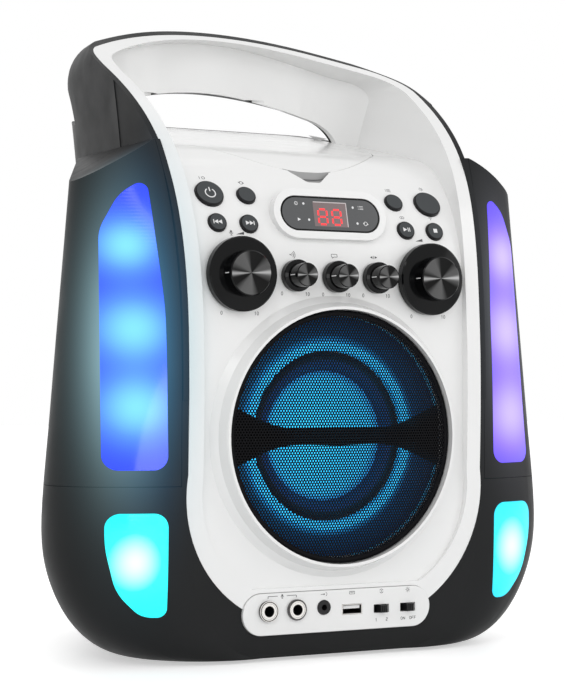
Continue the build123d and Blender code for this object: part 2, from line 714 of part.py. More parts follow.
save(turned(0, SPEAKER_Z, [(69.6, -94.2), (55.8, -84.5), (50, -84.5), (50, -83), (56.4, -83), (69.6, -92.3)]),
     "light_reflector")
with BuildPart() as light_ring:
    with BuildSketch(Plane(origin=(0, 0, SPEAKER_Z), x_dir=(0, 0, 1), z_dir=(-1, 0, 0))):
        with Locations((52.8, -86.9)):
            Circle(2.4)
    revolve(axis=Axis((0, 0, SPEAKER_Z), (0, 1, 0)))
save(light_ring.part, "light_ring")

surround = turned(0, SPEAKER_Z, [(49.6, -80), (49.6, -81.2), (48, -81.2), (46.8, -83.2), (44, -84), (41.2, -83.2),
                                 (40, -81.2), (38.2, -79.6), (38.2, -78.6), (40.6, -80), (41.8, -82.2),
                                 (44, -82.9), (46.2, -82.2), (47.2, -80)])
save(surround, "speaker_surround")
cone = turned(0, SPEAKER_Z, [(38.2, -78.4), (38.2, -79.4), (13.8, -66), (9, -68.4), (0, -69.6), (0, -68.8),
                             (9, -67.6), (12.6, -65.6), (12.6, -56), (13.4, -56), (13.4, -64.6)])
save(cone, "speaker_cone")
with BuildPart() as speaker_basket:
    add(turned(0, SPEAKER_Z, [(47.0, -80), (58, -80), (58, -78), (51.5, -78), (36, -58), (36, -54.5), (16, -54.5),
                              (16, -56), (34, -56), (34, -58.6), (49.2, -78), (47.0, -78)]))
    with BuildSketch(Plane(origin=(0, -57.6, SPEAKER_Z), x_dir=(1, 0, 0), z_dir=(0, -1, 0))):
        with PolarLocations(43, 6):
            SlotOverall(15, 12)
    extrude(amount=18, mode=Mode.SUBTRACT)
    with BuildSketch(front_plane(0, -76, SPEAKER_Z)):
        with PolarLocations(54.8, 4, 45):
            Circle(2.1)
    extrude(amount=6, mode=Mode.SUBTRACT)
save(speaker_basket.part, "speaker_basket")
save(turned(0, SPEAKER_Z, [(0, -62), (11, -62), (11, -54.5), (14, -54.5), (35, -54.5), (35, -40), (31, -40),
                           (31, -36), (0, -36)]), "speaker_magnet")

# ---------------------------------------------------------------- display
save(slot_on(display_plane(0.2), 66.4, 21.0, 2.0), "display_window")
with BuildPart() as display_module:
    add(block_on(display_plane(2.2), 50.0, 14.6, 6.4))
    add(block_on(display_plane(8.6), 50.0, 15.6, 1.6))
    add(block_on(display_plane(10.2), 30.0, 6.0, 3.0))
save(display_module.part, "display_module")

# ---------------------------------------------------------------- control boards, potentiometers
board_front = panel_plane(0, BOARD_LEAN, 15)
with BuildPart() as button_board:
    with BuildSketch(board_front):
        Rectangle(176, 36)
        Rectangle(80, 40, mode=Mode.SUBTRACT)
        with Locations((0, -21)):
            Rectangle(176, 6)
    extrude(amount=-1.6)
    for name, x, lean, radius in BUTTONS:
        add(block_on(panel_plane(x, lean, 12.5), 6, 6, 3.0))
save(button_board.part, "button_board")

with BuildPart() as potentiometers:
    for name, x in BIG_KNOBS + SMALL_KNOBS:
        add(turned(x, KNOB_Z, [(3.05, -94.5), (4.5, -94.5), (4.5, -89.3), (8, -89.3), (8, -81.4), (0, -81.4),
                               (0, -83.2), (3.05, -83.2)]))
save(potentiometers.part, "potentiometers")
save(block_on(front_plane(0, -81.4, 217.4), 150, 24, 1.6, corner=2), "knob_board")

# ---------------------------------------------------------------- knobs and buttons
for name, x in BIG_KNOBS:
    save(turned(x, KNOB_Z, [(0, KNOB_FRONT_Y), (12.3, KNOB_FRONT_Y), (12.9, -109.9), (13.2, -101.6),
                            (20.7, -101.2), (21.5, -100.4), (21.5, -96.0), (20.9, -95.4), (3.0, -95.4),
                            (3.0, -84.2), (0, -84.2)]), name)
for name, x in SMALL_KNOBS:
    save(turned(x, KNOB_Z, [(0, KNOB_FRONT_Y), (6.4, KNOB_FRONT_Y), (6.9, -110.0), (7.2, -100.6),
                            (9.0, -99.8), (9.3, -99.4), (9.3, -95.4), (3.0, -95.4), (3.0, -84.2), (0, -84.2)]), name)
for name, x, lean, radius in BUTTONS:
    with BuildPart() as button:
        with BuildSketch(panel_plane(x, lean, -1.8)):
            Circle(radius)
        extrude(amount=-5.8)
        fillet(button.faces().sort_by(Axis.Y)[0].edges(), 0.8)
        add(disc_on(panel_plane(x, lean, 4.0), radius + 1.4, 1.2))
        add(disc_on(panel_plane(x, lean, 5.2), 1.8, 5.8))
    save(button.part, name)

# ---------------------------------------------------------------- jack plate and its fittings
PLATE = PANEL_Y - JACK_FRONT_Y
with BuildPart() as jack_plate:
    with BuildSketch(front_plane(0, JACK_FRONT_Y, JACK_Z)):
        SlotOverall(124.8, 24.0)
        with Locations(*[(x, MIC_Z - JACK_Z) for x in MIC_X]):
            Circle(4.6, mode=Mode.SUBTRACT)
        with Locations((AUX_X, 2.3)):
            Circle(4.4, mode=Mode.SUBTRACT)
        with Locations((USB_X, 0.3)):
            Rectangle(13.6, 6.2, mode=Mode.SUBTRACT)
        with Locations(*[(x, SWITCH_Z - JACK_Z) for _, x in SWITCHES]):
            Rectangle(10.4, 5.0, mode=Mode.SUBTRACT)
    extrude(amount=-PLATE)
    fillet(jack_plate.faces().sort_by(Axis.Y)[0].outer_wire().edges(), 0.6)
save(jack_plate.part, "jack_plate")

jacks_rear = -80.0
with BuildPart() as microphone_jacks:
    for x in MIC_X:
        add(block_on(front_plane(x, PANEL_Y, MIC_Z), 12, 11, jacks_rear - PANEL_Y))
        add(disc_on(front_plane(x, -100.0, MIC_Z), 4.4, 100.0 + PANEL_Y + 1))
        add(disc_on(front_plane(x, -101.0, MIC_Z), 3.175, 19.0), mode=Mode.SUBTRACT)
save(microphone_jacks.part, "microphone_jacks")
with BuildPart() as microphone_nuts:
    for x in MIC_X:
        add(disc_on(front_plane(x, JACK_FRONT_Y - 1.9, MIC_Z), 6.0, 1.9, bore=4.5))
    chamfer(microphone_nuts.faces().sort_by(Axis.Y)[0].outer_wire().edges(), 0.4)
save(microphone_nuts.part, "microphone_nuts")
with BuildPart() as aux_jack:
    add(block_on(front_plane(AUX_X, PANEL_Y, JACK_Z + 2.3), 8, 11, jacks_rear - PANEL_Y))
    add(disc_on(front_plane(AUX_X, JACK_FRONT_Y - 0.7, JACK_Z + 2.3), 4.2, PLATE + 1.7))
    add(disc_on(front_plane(AUX_X, -100.0, JACK_Z + 2.3), 1.75, 17.0), mode=Mode.SUBTRACT)
save(aux_jack.part, "aux_jack")
with BuildPart() as usb_socket:
    add(block_on(front_plane(USB_X, JACK_FRONT_Y + 0.1, JACK_Z + 0.3), 13.2, 5.8, jacks_rear - JACK_FRONT_Y - 0.1))
    add(block_on(front_plane(USB_X, JACK_FRONT_Y - 1, JACK_Z + 0.3), 12.5, 5.1, 17), mode=Mode.SUBTRACT)
    add(block_on(front_plane(USB_X, JACK_FRONT_Y + 1.0, JACK_Z + 1.5), 11.0, 1.8, 16.5))
save(usb_socket.part, "usb_socket")

with BuildPart() as switch_bodies:
    for name, x in SWITCHES:
        add(block_on(front_plane(x, PANEL_Y, SWITCH_Z), 16, 10, jacks_rear - PANEL_Y))
        add(block_on(front_plane(x, PANEL_Y - 1, SWITCH_Z), 12.4, 7.0, 5.2), mode=Mode.SUBTRACT)
save(switch_bodies.part, "switch_bodies")
for name, x in SWITCHES:
    with BuildPart() as slider:
        add(block_on(front_plane(x, -101.4, SWITCH_Z), 4.4, 4.4, 7.0))
        add(block_on(front_plane(x, -94.4, SWITCH_Z), 7.0, 6.4, 3.4))
        for groove in (-1.2, 0, 1.2):
            add(block_on(front_plane(x + groove, -102, SWITCH_Z), 0.5, 6, 1.1), mode=Mode.SUBTRACT)
    save(slider.part, name)
save(block_on(front_plane(0, jacks_rear, 28), 116, 17, 1.6, corner=2), "jack_board")

# ---------------------------------------------------------------- disc lid
lid_skin = shaped(side_prism(before_panel(WALL)), cut=[side_prism(before_panel())])
with BuildPart() as lid_disc:
    with BuildSketch(Plane.XY.offset(250)):
        with Locations((0, LID_Y)):
            Circle(LID_RADIUS)
        with Locations((0, HINGE_Y - 1.5 + 50)):
            Rectangle(200, 100, mode=Mode.SUBTRACT)
        for side in (-1, 1):
            with Locations((side * (BARREL_HALF + 10.2), HINGE_Y - 4.6 + 50)):
                Rectangle(20, 100, mode=Mode.SUBTRACT)
    extrude(amount=110)
hinge_z = deck_z(HINGE_Y) - HINGE_DEPTH
barrel = rod_along_x(-BARREL_HALF, BARREL_HALF, HINGE_Y, hinge_z, 3.0)
clamp = disc_on(deck_plane(0, LID_Y, 2.5), 14, 4.0, bore=8.5)
disc_lid = shaped(shaped(lid_disc.part, keep=[lid_skin]), join=[barrel, clamp],
                  cut=[rod_along_x(-60, 60, HINGE_Y, hinge_z, PIN_RADIUS + 0.05)])
save(disc_lid, "disc_lid")
save(rod_along_x(-BARREL_HALF - 5.4, BARREL_HALF + 5.4, HINGE_Y, hinge_z, PIN_RADIUS), "lid_hinge_pin")

# ---------------------------------------------------------------- disc drive under the lid
rod_ends = (10.0, 76.0)
with BuildPart() as disc_well:
    add(disc_on(deck_plane(0, LID_Y, 2.0), WELL_RADIUS, WELL_BASE - 2.0))
    add(disc_on(deck_plane(0, LID_Y, 1.0), WELL_INNER, WELL_FLOOR - 1.0), mode=Mode.SUBTRACT)
    add(disc_on(deck_plane(0, LID_Y, WELL_FLOOR - 1.5), 64.0, 1.5, bore=62.0))
    add(block_on(deck_plane(0, HINGE_Y + 3, 0), 2 * BARREL_HALF + 16, 14, 9.5), mode=Mode.SUBTRACT)
    for x in rod_ends:
        for y in (-ROD_Y, ROD_Y):
            with BuildSketch(deck_plane(0, LID_Y, WELL_BASE - 0.5)):
                with Locations((x, y)):
                    Rectangle(4, 6)
            extrude(amount=-8.0)
    with BuildSketch(deck_plane(0, LID_Y, 0)):
        Circle(15.0)
        with Locations((42, 0)):
            Rectangle(42, 12)
    extrude(amount=-WELL_BASE - 2, mode=Mode.SUBTRACT)
rod_plane = deck_plane(0, LID_Y, ROD_DEPTH)


def guide_rod(y, radius, x0, x1):
    """Rod along X, y measured along the sloping deck."""
    base = rod_plane.origin + rod_plane.y_dir * y
    return rod_along_x(x0, x1, base.Y, base.Z, radius)


guides = [guide_rod(y, ROD_RADIUS, rod_ends[0] - 2, rod_ends[1] + 2) for y in (-ROD_Y, ROD_Y)]
well = shaped(disc_well.part, cut=[side_prism(before_panel(WALL))] +
              [guide_rod(y, ROD_RADIUS + 0.02, 0, 90) for y in (-ROD_Y, ROD_Y)])
save(well, "disc_well")
with BuildPart() as guide_rods:
    add(guides[0])
    add(guides[1])
save(guide_rods.part, "guide_rods")

with BuildPart() as pickup_sled:
    with BuildSketch(deck_plane(26, LID_Y, 17.0)):
        Rectangle(23, 42)
    extrude(amount=-7.0)
    add(disc_on(deck_plane(26, LID_Y, 12.0), 4.5, 6.0))
    add(disc_on(deck_plane(26, LID_Y, 11.4), 2.6, 1.0))
sled = shaped(pickup_sled.part, cut=[guide_rod(y, ROD_RADIUS + 0.05, 0, 90) for y in (-ROD_Y, ROD_Y)])
save(sled, "pickup_sled")

with BuildPart() as spindle_motor:
    add(disc_on(deck_plane(0, LID_Y, WELL_BASE), 12.0, 12.0))
    add(disc_on(deck_plane(0, LID_Y, 8.6), 1.0, 7.4))
    with BuildSketch(deck_plane(0, LID_Y, WELL_BASE)):
        Rectangle(14, 46)
    extrude(amount=-1.2)
save(spindle_motor.part, "spindle_motor")
with BuildPart() as disc_hub:
    add(disc_on(deck_plane(0, LID_Y, DISC_DEPTH), 13.0, 2.0))
    add(disc_on(deck_plane(0, LID_Y, 7.8), 7.3, 3.2))
    add(disc_on(deck_plane(0, LID_Y, 12.5), 4.0, 1.5))
    with BuildSketch(deck_plane(0, LID_Y, 7.8)):
        with PolarLocations(5.4, 3):
            Circle(0.7, mode=Mode.ADD)
    extrude(amount=0.6)
hub = shaped(disc_hub.part, cut=[disc_on(deck_plane(0, LID_Y, 8.4), 1.05, 10)])
save(hub, "disc_hub")
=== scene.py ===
import math

import bpy
from mathutils import Matrix, Vector


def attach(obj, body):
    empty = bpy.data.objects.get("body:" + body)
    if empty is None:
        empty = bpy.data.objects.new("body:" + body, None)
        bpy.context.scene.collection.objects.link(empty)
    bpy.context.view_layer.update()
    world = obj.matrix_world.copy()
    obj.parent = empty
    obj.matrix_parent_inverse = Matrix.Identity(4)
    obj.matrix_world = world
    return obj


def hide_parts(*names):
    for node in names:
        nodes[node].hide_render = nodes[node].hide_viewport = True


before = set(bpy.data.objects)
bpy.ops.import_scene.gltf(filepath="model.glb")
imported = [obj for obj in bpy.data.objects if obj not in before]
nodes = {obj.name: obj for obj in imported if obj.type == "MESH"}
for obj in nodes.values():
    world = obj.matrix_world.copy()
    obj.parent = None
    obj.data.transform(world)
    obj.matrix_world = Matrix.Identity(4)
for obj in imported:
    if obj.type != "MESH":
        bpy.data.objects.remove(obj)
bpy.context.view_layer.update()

MM = 0.001

# ------------------------------------------------------------------ row-frame geometry, millimetres
PANEL_Y, PANEL_ARC_Z, PANEL_RADIUS = -94.7, 210.5, 103.0
SPEAKER_Z, GRILLE_RADIUS = 128.6, 73.4
KNOB_Z = 221.6
DISPLAY_LEAN = math.radians(13.6)


def surface(x, lean, below=0.0):
    """A point on the curved panel and the outward direction there."""
    a = math.radians(lean)
    reach = PANEL_RADIUS - below
    y = PANEL_Y + PANEL_RADIUS - reach * math.cos(a)
    z = PANEL_ARC_Z + reach * math.sin(a)
    return Vector((x, y, z)), Vector((0, -math.cos(a), math.sin(a)))


def panel_at(x, z):
    """Panel point and outward direction at a height."""
    if z <= PANEL_ARC_Z:
        return Vector((x, PANEL_Y, z)), Vector((0, -1, 0))
    return surface(x, math.degrees(math.asin((z - PANEL_ARC_Z) / PANEL_RADIUS)))


def axes_at(point, outward):
    """Placement in metres: local X to the right, local Y up the surface, local Z outward."""
    out = outward.normalized()
    right = Vector((1, 0, 0))
    up = out.cross(right).normalized()
    placed = Matrix.Identity(4)
    for column, axis in enumerate((right, up, out)):
        for row in range(3):
            placed[row][column] = axis[row] * MM
    for row in range(3):
        placed[row][3] = point[row] * MM
    return placed


# ------------------------------------------------------------------ materials
EULER = 2.718               # base of the fall in light away from a lamp


def new_material(name):
    material = bpy.data.materials.new(name)
    material.use_nodes = True
    tree = material.node_tree
    return material, tree, tree.nodes["Principled BSDF"]


def link(tree, a, out, b, into):
    tree.links.new(a.outputs[out], b.inputs[into])


def position(tree, space="Object"):
    """Texture coordinates, and the same split into X, Y and Z."""
    coords = tree.nodes.new("ShaderNodeTexCoord")
    split = tree.nodes.new("ShaderNodeSeparateXYZ")
    link(tree, coords, space, split, "Vector")
    return coords, split


def object_noise(tree, scale, detail=3.0):
    coords = tree.nodes.new("ShaderNodeTexCoord")
    noise = tree.nodes.new("ShaderNodeTexNoise")
    noise.inputs["Scale"].default_value = scale
    noise.inputs["Detail"].default_value = detail
    link(tree, coords, "Object", noise, "Vector")
    return noise


def relief(tree, shader, height, strength, distance=0.0002):
    """Fine relief from a height output; the distance is in metres."""
    bump = tree.nodes.new("ShaderNodeBump")
    bump.inputs["Strength"].default_value = strength
    bump.inputs["Distance"].default_value = distance
    tree.links.new(height, bump.inputs["Height"])
    link(tree, bump, "Normal", shader, "Normal")


def math_node(tree, operation, a, b=None):
    node = tree.nodes.new("ShaderNodeMath")
    node.operation = operation
    for index, value in enumerate((a, b)):
        if value is None:
            continue
        if isinstance(value, (int, float)):
            node.inputs[index].default_value = value
        else:
            tree.links.new(value, node.inputs[index])
    return node.outputs[0]


def times(tree, a, b):
    return math_node(tree, "MULTIPLY", a, b)


def plus(tree, a, b):
    return math_node(tree, "ADD", a, b)


def squares(tree, values):
    """The sum of the values' squares."""
    total = None
    for value in values:
        square = times(tree, value, value)
        total = square if total is None else plus(tree, total, square)
    return total


def pool_at(tree, split, centre, size):
    """How much lamp light reaches a point: one beside the lamp, nothing far off.

    The centre and the size give millimetres along some of the axes, by their letters.
    """
    steps = [times(tree, math_node(tree, "SUBTRACT", split.outputs[axis], centre[axis] * MM),
                   1 / (size[axis] * MM)) for axis in centre]
    return math_node(tree, "POWER", EULER, times(tree, squares(tree, steps), -1.0))


def colour_stops(tree, share, stops):
    """Colours along a value from 0 to 1; each stop is (value, colour)."""
    colours = tree.nodes.new("ShaderNodeValToRGB")
    points = colours.color_ramp.elements
    while len(points) < len(stops):
        points.new(0.5)
    for point, (at, colour) in zip(points, stops):
        point.position, point.color = at, (*colour, 1)
    tree.links.new(share, colours.inputs["Fac"])
    return colours


def mottled(tree, noise, low_colour, high_colour):
    """Two colours, mixed by a noise."""
    return colour_stops(tree, noise.outputs["Fac"], [(0.3, low_colour), (0.7, high_colour)])


def grey(value):
    return (value, value, value)


def moulded(name, colour, roughness, spread=0.05, texture=900.0, depth=0.06, coat=0.0, shade=0.93,
            specular=0.5):
    """Plastic or rubber: a faint mottle in the colour and gloss, and a fine moulded texture."""
    material, tree, shader = new_material(name)
    colours = mottled(tree, object_noise(tree, 14.0), tuple(c * shade for c in colour), colour)
    link(tree, colours, "Color", shader, "Base Color")
    gloss = mottled(tree, object_noise(tree, 45.0, 5.0),
                    grey(max(0.02, roughness - spread)), grey(roughness + spread))
    link(tree, gloss, "Color", shader, "Roughness")
    relief(tree, shader, object_noise(tree, texture, 2.0).outputs["Fac"], depth)
    shader.inputs["Coat Weight"].default_value = coat
    shader.inputs["Coat Roughness"].default_value = 0.08
    shader.inputs["Specular IOR Level"].default_value = specular
    return material


def metal(name, colour, roughness, stretch=(1, 1, 40), depth=0.05):
    """Metal with fine drawn lines."""
    material, tree, shader = new_material(name)
    coords = tree.nodes.new("ShaderNodeTexCoord")
    mapping = tree.nodes.new("ShaderNodeMapping")
    mapping.inputs["Scale"].default_value = stretch
    noise = tree.nodes.new("ShaderNodeTexNoise")
    noise.inputs["Scale"].default_value = 160.0
    link(tree, coords, "Object", mapping, "Vector")
    link(tree, mapping, "Vector", noise, "Vector")
    colours = mottled(tree, noise, tuple(c * 0.88 for c in colour), colour)
    link(tree, colours, "Color", shader, "Base Color")
    gloss = mottled(tree, noise, grey(roughness * 0.8), grey(roughness * 1.25))
    link(tree, gloss, "Color", shader, "Roughness")
    relief(tree, shader, noise.outputs["Fac"], depth, 0.0001)
    shader.inputs["Metallic"].default_value = 1.0
    return material


def lit_lens(name, base, glow, hot, spots, strength, spread, floor_level):
    """A lit window: pools of light round the lamps behind it, as (x, z, size) in millimetres."""
    material, tree, shader = new_material(name)
    coords, split = position(tree)
    total = None
    for x, z, (wide, high) in spots:
        pool = pool_at(tree, split, {"X": x, "Z": z}, {"X": wide, "Z": high})
        total = pool if total is None else plus(tree, total, pool)
    colours = colour_stops(tree, total, [(0.0, base), (spread, glow), (1.0, hot)])
    link(tree, colours, "Color", shader, "Emission Color")
    level = plus(tree, times(tree, total, strength - floor_level), floor_level)
    tree.links.new(level, shader.inputs["Emission Strength"])
    ribs = tree.nodes.new("ShaderNodeTexWave")
    ribs.bands_direction = "Z"
    ribs.inputs["Scale"].default_value = 160.0
    link(tree, coords, "Object", ribs, "Vector")
    relief(tree, shader, ribs.outputs["Fac"], 0.04)
    shader.inputs["Base Color"].default_value = (*[c * 0.5 for c in base], 1)
    shader.inputs["Roughness"].default_value = 0.12
    return material


def glowing(name, base, colour, strength, roughness=0.3):
    """A plain lit part with a slight unevenness."""
    material, tree, shader = new_material(name)
    shader.inputs["Base Color"].default_value = (*base, 1)
    shader.inputs["Roughness"].default_value = roughness
    colours = mottled(tree, object_noise(tree, 60.0), tuple(c * 0.8 for c in colour), colour)
    link(tree, colours, "Color", shader, "Emission Color")
    shader.inputs["Emission Strength"].default_value = strength
    return material


WHITE = (0.84, 0.84, 0.835)
GLOSS_WHITE = {"colour": WHITE, "roughness": 0.20, "spread": 0.05, "texture": 500.0, "depth": 0.02,
               "coat": 0.35, "shade": 0.97}
white = moulded("gloss_white_plastic", **GLOSS_WHITE)
CHARCOAL = {"colour": (0.019, 0.0195, 0.020), "roughness": 0.42, "spread": 0.06, "texture": 1100.0,
            "depth": 0.10, "specular": 0.07}
charcoal = moulded("satin_charcoal_plastic", **CHARCOAL)
satin_black = moulded("satin_black_plastic", (0.007, 0.007, 0.0075), 0.42, 0.07, 1300.0, 0.12,
                      specular=0.3)
gloss_black = moulded("gloss_black_plastic", (0.002, 0.0022, 0.0026), 0.09, 0.03, 700.0, 0.02,
                      specular=0.18)
grey_plastic = moulded("grey_plastic", (0.20, 0.20, 0.205), 0.45, 0.06, 900.0, 0.08)
cap_rubber = moulded("button_rubber", (0.055, 0.060, 0.063), 0.5, 0.06, 1600.0, 0.12, specular=0.2)
cap_rim = moulded("button_rim_rubber", (0.006, 0.006, 0.007), 0.3, 0.05, 1600.0, 0.08, specular=0.2)
# White plastic darkened to grey as painted shade, on the thumb scoop and the lid's front edge in
# the notch.
painted_shade_white = moulded("shaded_white_plastic", (0.36, 0.36, 0.36), 0.45, 0.05, 600.0, 0.03)
window_face = moulded("smoked_window", (0.10, 0.102, 0.105), 0.12, 0.03, 500.0, 0.02, specular=0.3)
dark_chrome = metal("dark_chrome", (0.09, 0.085, 0.085), 0.18)
soft_rubber = moulded("foot_rubber", (0.010, 0.010, 0.010), 0.8, 0.08, 1800.0, 0.3, specular=0.2)
green_board = moulded("green_solder_mask", (0.01, 0.09, 0.03), 0.35, 0.08, 260.0, 0.1)
ferrite = moulded("ferrite", (0.045, 0.045, 0.047), 0.6, 0.1, 1300.0, 0.3)
nickel = metal("nickel_plate", (0.72, 0.70, 0.67), 0.2)
zinc = metal("zinc_plated_steel", (0.42, 0.42, 0.44), 0.32)
bare_aluminium = metal("bare_aluminium", (0.78, 0.78, 0.8), 0.28)
grille_paint = moulded("black_painted_steel", (0.003, 0.003, 0.004), 0.45, 0.05, 1500.0, 0.1,
                       specular=0.07)
print_grey = moulded("grey_print", (0.06, 0.06, 0.063), 0.5, 0.05, 900.0, 0.02)
print_black = moulded("black_print", (0.03, 0.03, 0.032), 0.5, 0.05, 900.0, 0.02)
print_white = moulded("white_print", (0.80, 0.80, 0.80), 0.5, 0.05, 900.0, 0.02)

SPILL_SPAN = 320            # millimetres from left to right that the spilled light's colours cover


def charcoal_with_painted_spill():
    """Charcoal with the light of the tall windows beside it painted on as a glow."""
    material = moulded("lit_charcoal_plastic", **CHARCOAL)
    tree = material.node_tree
    shader = tree.nodes["Principled BSDF"]
    _, split = position(tree)
    # Painted light: pools of the windows' glow on the charcoal, as emission, teal and blue on the
    # left, grey on the right.
    left = pool_at(tree, split, {"X": -126, "Y": -82, "Z": 180}, {"X": 21, "Y": 24, "Z": 66})
    right = pool_at(tree, split, {"X": 124, "Y": -82, "Z": 190}, {"X": 18, "Y": 22, "Z": 62})
    share = plus(tree, times(tree, split.outputs["X"], 1 / (SPILL_SPAN * MM)), 0.5)
    places = {-145: (0.42, 0.72, 0.80), -109: (0.07, 0.34, 0.62), 109: (0.17, 0.18, 0.21),
              145: (0.10, 0.10, 0.13)}
    stops = [(x / SPILL_SPAN + 0.5, colour) for x, colour in places.items()]
    colours = colour_stops(tree, share, stops)
    link(tree, colours, "Color", shader, "Emission Color")
    tree.links.new(plus(tree, left, right), shader.inputs["Emission Strength"])
    return material


def white_with_painted_glow():
    """The white front, with a little of the left windows' light painted into its colour along its
    edge.
    """
    material = moulded("lit_gloss_white_plastic", **GLOSS_WHITE)
    tree = material.node_tree
    shader = tree.nodes["Principled BSDF"]
    _, split = position(tree)
    glow_mix = tree.nodes.new("ShaderNodeMix")
    glow_mix.data_type = "RGBA"
    glow_mix.inputs["A"].default_value = (*WHITE, 1)
    glow_mix.inputs["B"].default_value = (0.50, 0.70, 0.76, 1)
    # Painted light: the windows' glow mixed into the base colour near the left windows.
    lamp = pool_at(tree, split, {"X": -108, "Y": -80, "Z": 185}, {"X": 17, "Y": 60, "Z": 90})
    tree.links.new(lamp, glow_mix.inputs["Factor"])
    link(tree, glow_mix, "Result", shader, "Base Color")
    return material


def spun_face():
    """The turned top of a knob: fine rings, and painted gleams that turn with the knob."""
    material, tree, shader = new_material("black_spun_metal")
    _, split = position(tree, "Generated")
    u = math_node(tree, "SUBTRACT", split.outputs["X"], 0.5)
    v = math_node(tree, "SUBTRACT", split.outputs["Z"], 0.5)
    radius = math_node(tree, "SQRT", squares(tree, (u, v)))
    rings = math_node(tree, "SINE", times(tree, radius, 420.0))
    angle = math_node(tree, "ARCTAN2", v, u)
    # Painted reflection: three light and three dark sectors round the face.
    sectors = math_node(tree, "SINE", plus(tree, times(tree, angle, 3.0), 0.9))
    shade = tree.nodes.new("ShaderNodeMapRange")
    shade.inputs["From Min"].default_value = -0.45
    shade.inputs["From Max"].default_value = 0.6
    shade.inputs["To Min"].default_value = 0.012
    shade.inputs["To Max"].default_value = 0.085
    tree.links.new(sectors, shade.inputs["Value"])
    # Painted highlight: a thin bright line across the face.
    gleam = math_node(tree, "COSINE", math_node(tree, "SUBTRACT", angle, 0.05))
    gleam = math_node(tree, "POWER", times(tree, gleam, gleam), 90.0)
    tone = plus(tree, shade.outputs["Result"], times(tree, gleam, 0.30))
    tree.links.new(tone, shader.inputs["Base Color"])
    relief(tree, shader, rings, 0.08, 0.0001)
    tangent = tree.nodes.new("ShaderNodeTangent")
    tangent.direction_type = "RADIAL"
    tangent.axis = "Y"
    link(tree, tangent, "Tangent", shader, "Tangent")
    shader.inputs["Metallic"].default_value = 1.0
    shader.inputs["Roughness"].default_value = 0.3
    shader.inputs["Anisotropic"].default_value = 0.7
    return material


lit_charcoal = charcoal_with_painted_spill()
lit_white = white_with_painted_glow()
knob_face = spun_face()

SPEAKER_SPAN = 75.0         # millimetres from the speaker's axis that the stack's colours cover


def lit_by_radius(name, stops, strength, base, roughness, texture=1500.0):
    """A part of the speaker stack with the blue lamps' light painted on as a glow, by millimetres
    from its axis.
    """
    material, tree, shader = new_material(name)
    _, split = position(tree)
    z = math_node(tree, "SUBTRACT", split.outputs["Z"], SPEAKER_Z * MM)
    radius = math_node(tree, "SQRT", squares(tree, (split.outputs["X"], z)))
    share = times(tree, radius, 1 / (SPEAKER_SPAN * MM))
    colours = colour_stops(tree, share, [(at / SPEAKER_SPAN, colour) for at, colour in stops])
    link(tree, colours, "Color", shader, "Emission Color")
    shader.inputs["Emission Strength"].default_value = strength
    shader.inputs["Base Color"].default_value = (*base, 1)
    shader.inputs["Roughness"].default_value = roughness
    relief(tree, shader, object_noise(tree, texture, 2.0).outputs["Fac"], 0.2)
    return material


# Painted light: the cone, the surround and the reflector glow blue by emission.
cone_painted_glow = lit_by_radius(
    "lit_speaker_cone", [(0, (0.03, 0.52, 0.86)), (20, (0.02, 0.44, 0.78)),
                         (34, (0.02, 0.38, 0.72)), (38.2, (0.01, 0.14, 0.40))],
    2.2, (0.02, 0.03, 0.05), 0.8)
surround_painted_glow = lit_by_radius(
    "lit_surround_rubber", [(38, (0.004, 0.04, 0.17)), (43.5, (0.006, 0.05, 0.20)),
                            (45.5, (0.0, 0.003, 0.012)), (49.6, (0.0, 0.002, 0.01))],
    1.0, (0.01, 0.01, 0.012), 0.6)
reflector_painted_glow = lit_by_radius(
    "lit_reflector", [(50, (0.01, 0.26, 0.56)), (56, (0.01, 0.22, 0.50)),
                      (59, (0.002, 0.035, 0.10)), (69.6, (0.001, 0.008, 0.026))],
    1.6, (0.01, 0.03, 0.10), 0.35)

LENS_FLOOR = 0.95           # how strongly a lit window glows between its lamps
blue_lens = lit_lens(
    "lit_blue_lens", (0.012, 0.045, 0.90), (0.085, 0.30, 1.0), (0.21, 0.76, 1.0),
    [(-127, 237, (16, 15)), (-125, 190, (19, 18)), (-125, 146, (19, 18))], 1.05, 0.42, LENS_FLOOR)
violet_lens = lit_lens(
    "lit_violet_lens", (0.085, 0.045, 0.90), (0.29, 0.18, 0.94), (0.58, 0.47, 1.0),
    [(126, 141, (22, 21)), (126, 192, (22, 20)), (127, 238, (18, 16))], 1.0, 0.38, LENS_FLOOR)
cyan_left = lit_lens(
    "lit_cyan_lens_left", (0.0, 0.80, 0.88), (0.02, 0.95, 0.95), (0.90, 1.0, 1.0),
    [(-127, 60, (14, 16))], 1.05, 0.35, LENS_FLOOR)
cyan_right = lit_lens(
    "lit_cyan_lens_right", (0.0, 0.62, 0.85), (0.02, 0.85, 0.95), (0.85, 1.0, 1.0),
    [(124, 60, (14, 18))], 1.05, 0.35, LENS_FLOOR)
ring_glow = glowing("lit_blue_ring", (0.02, 0.1, 0.4), (0.03, 0.52, 0.95), 1.9)

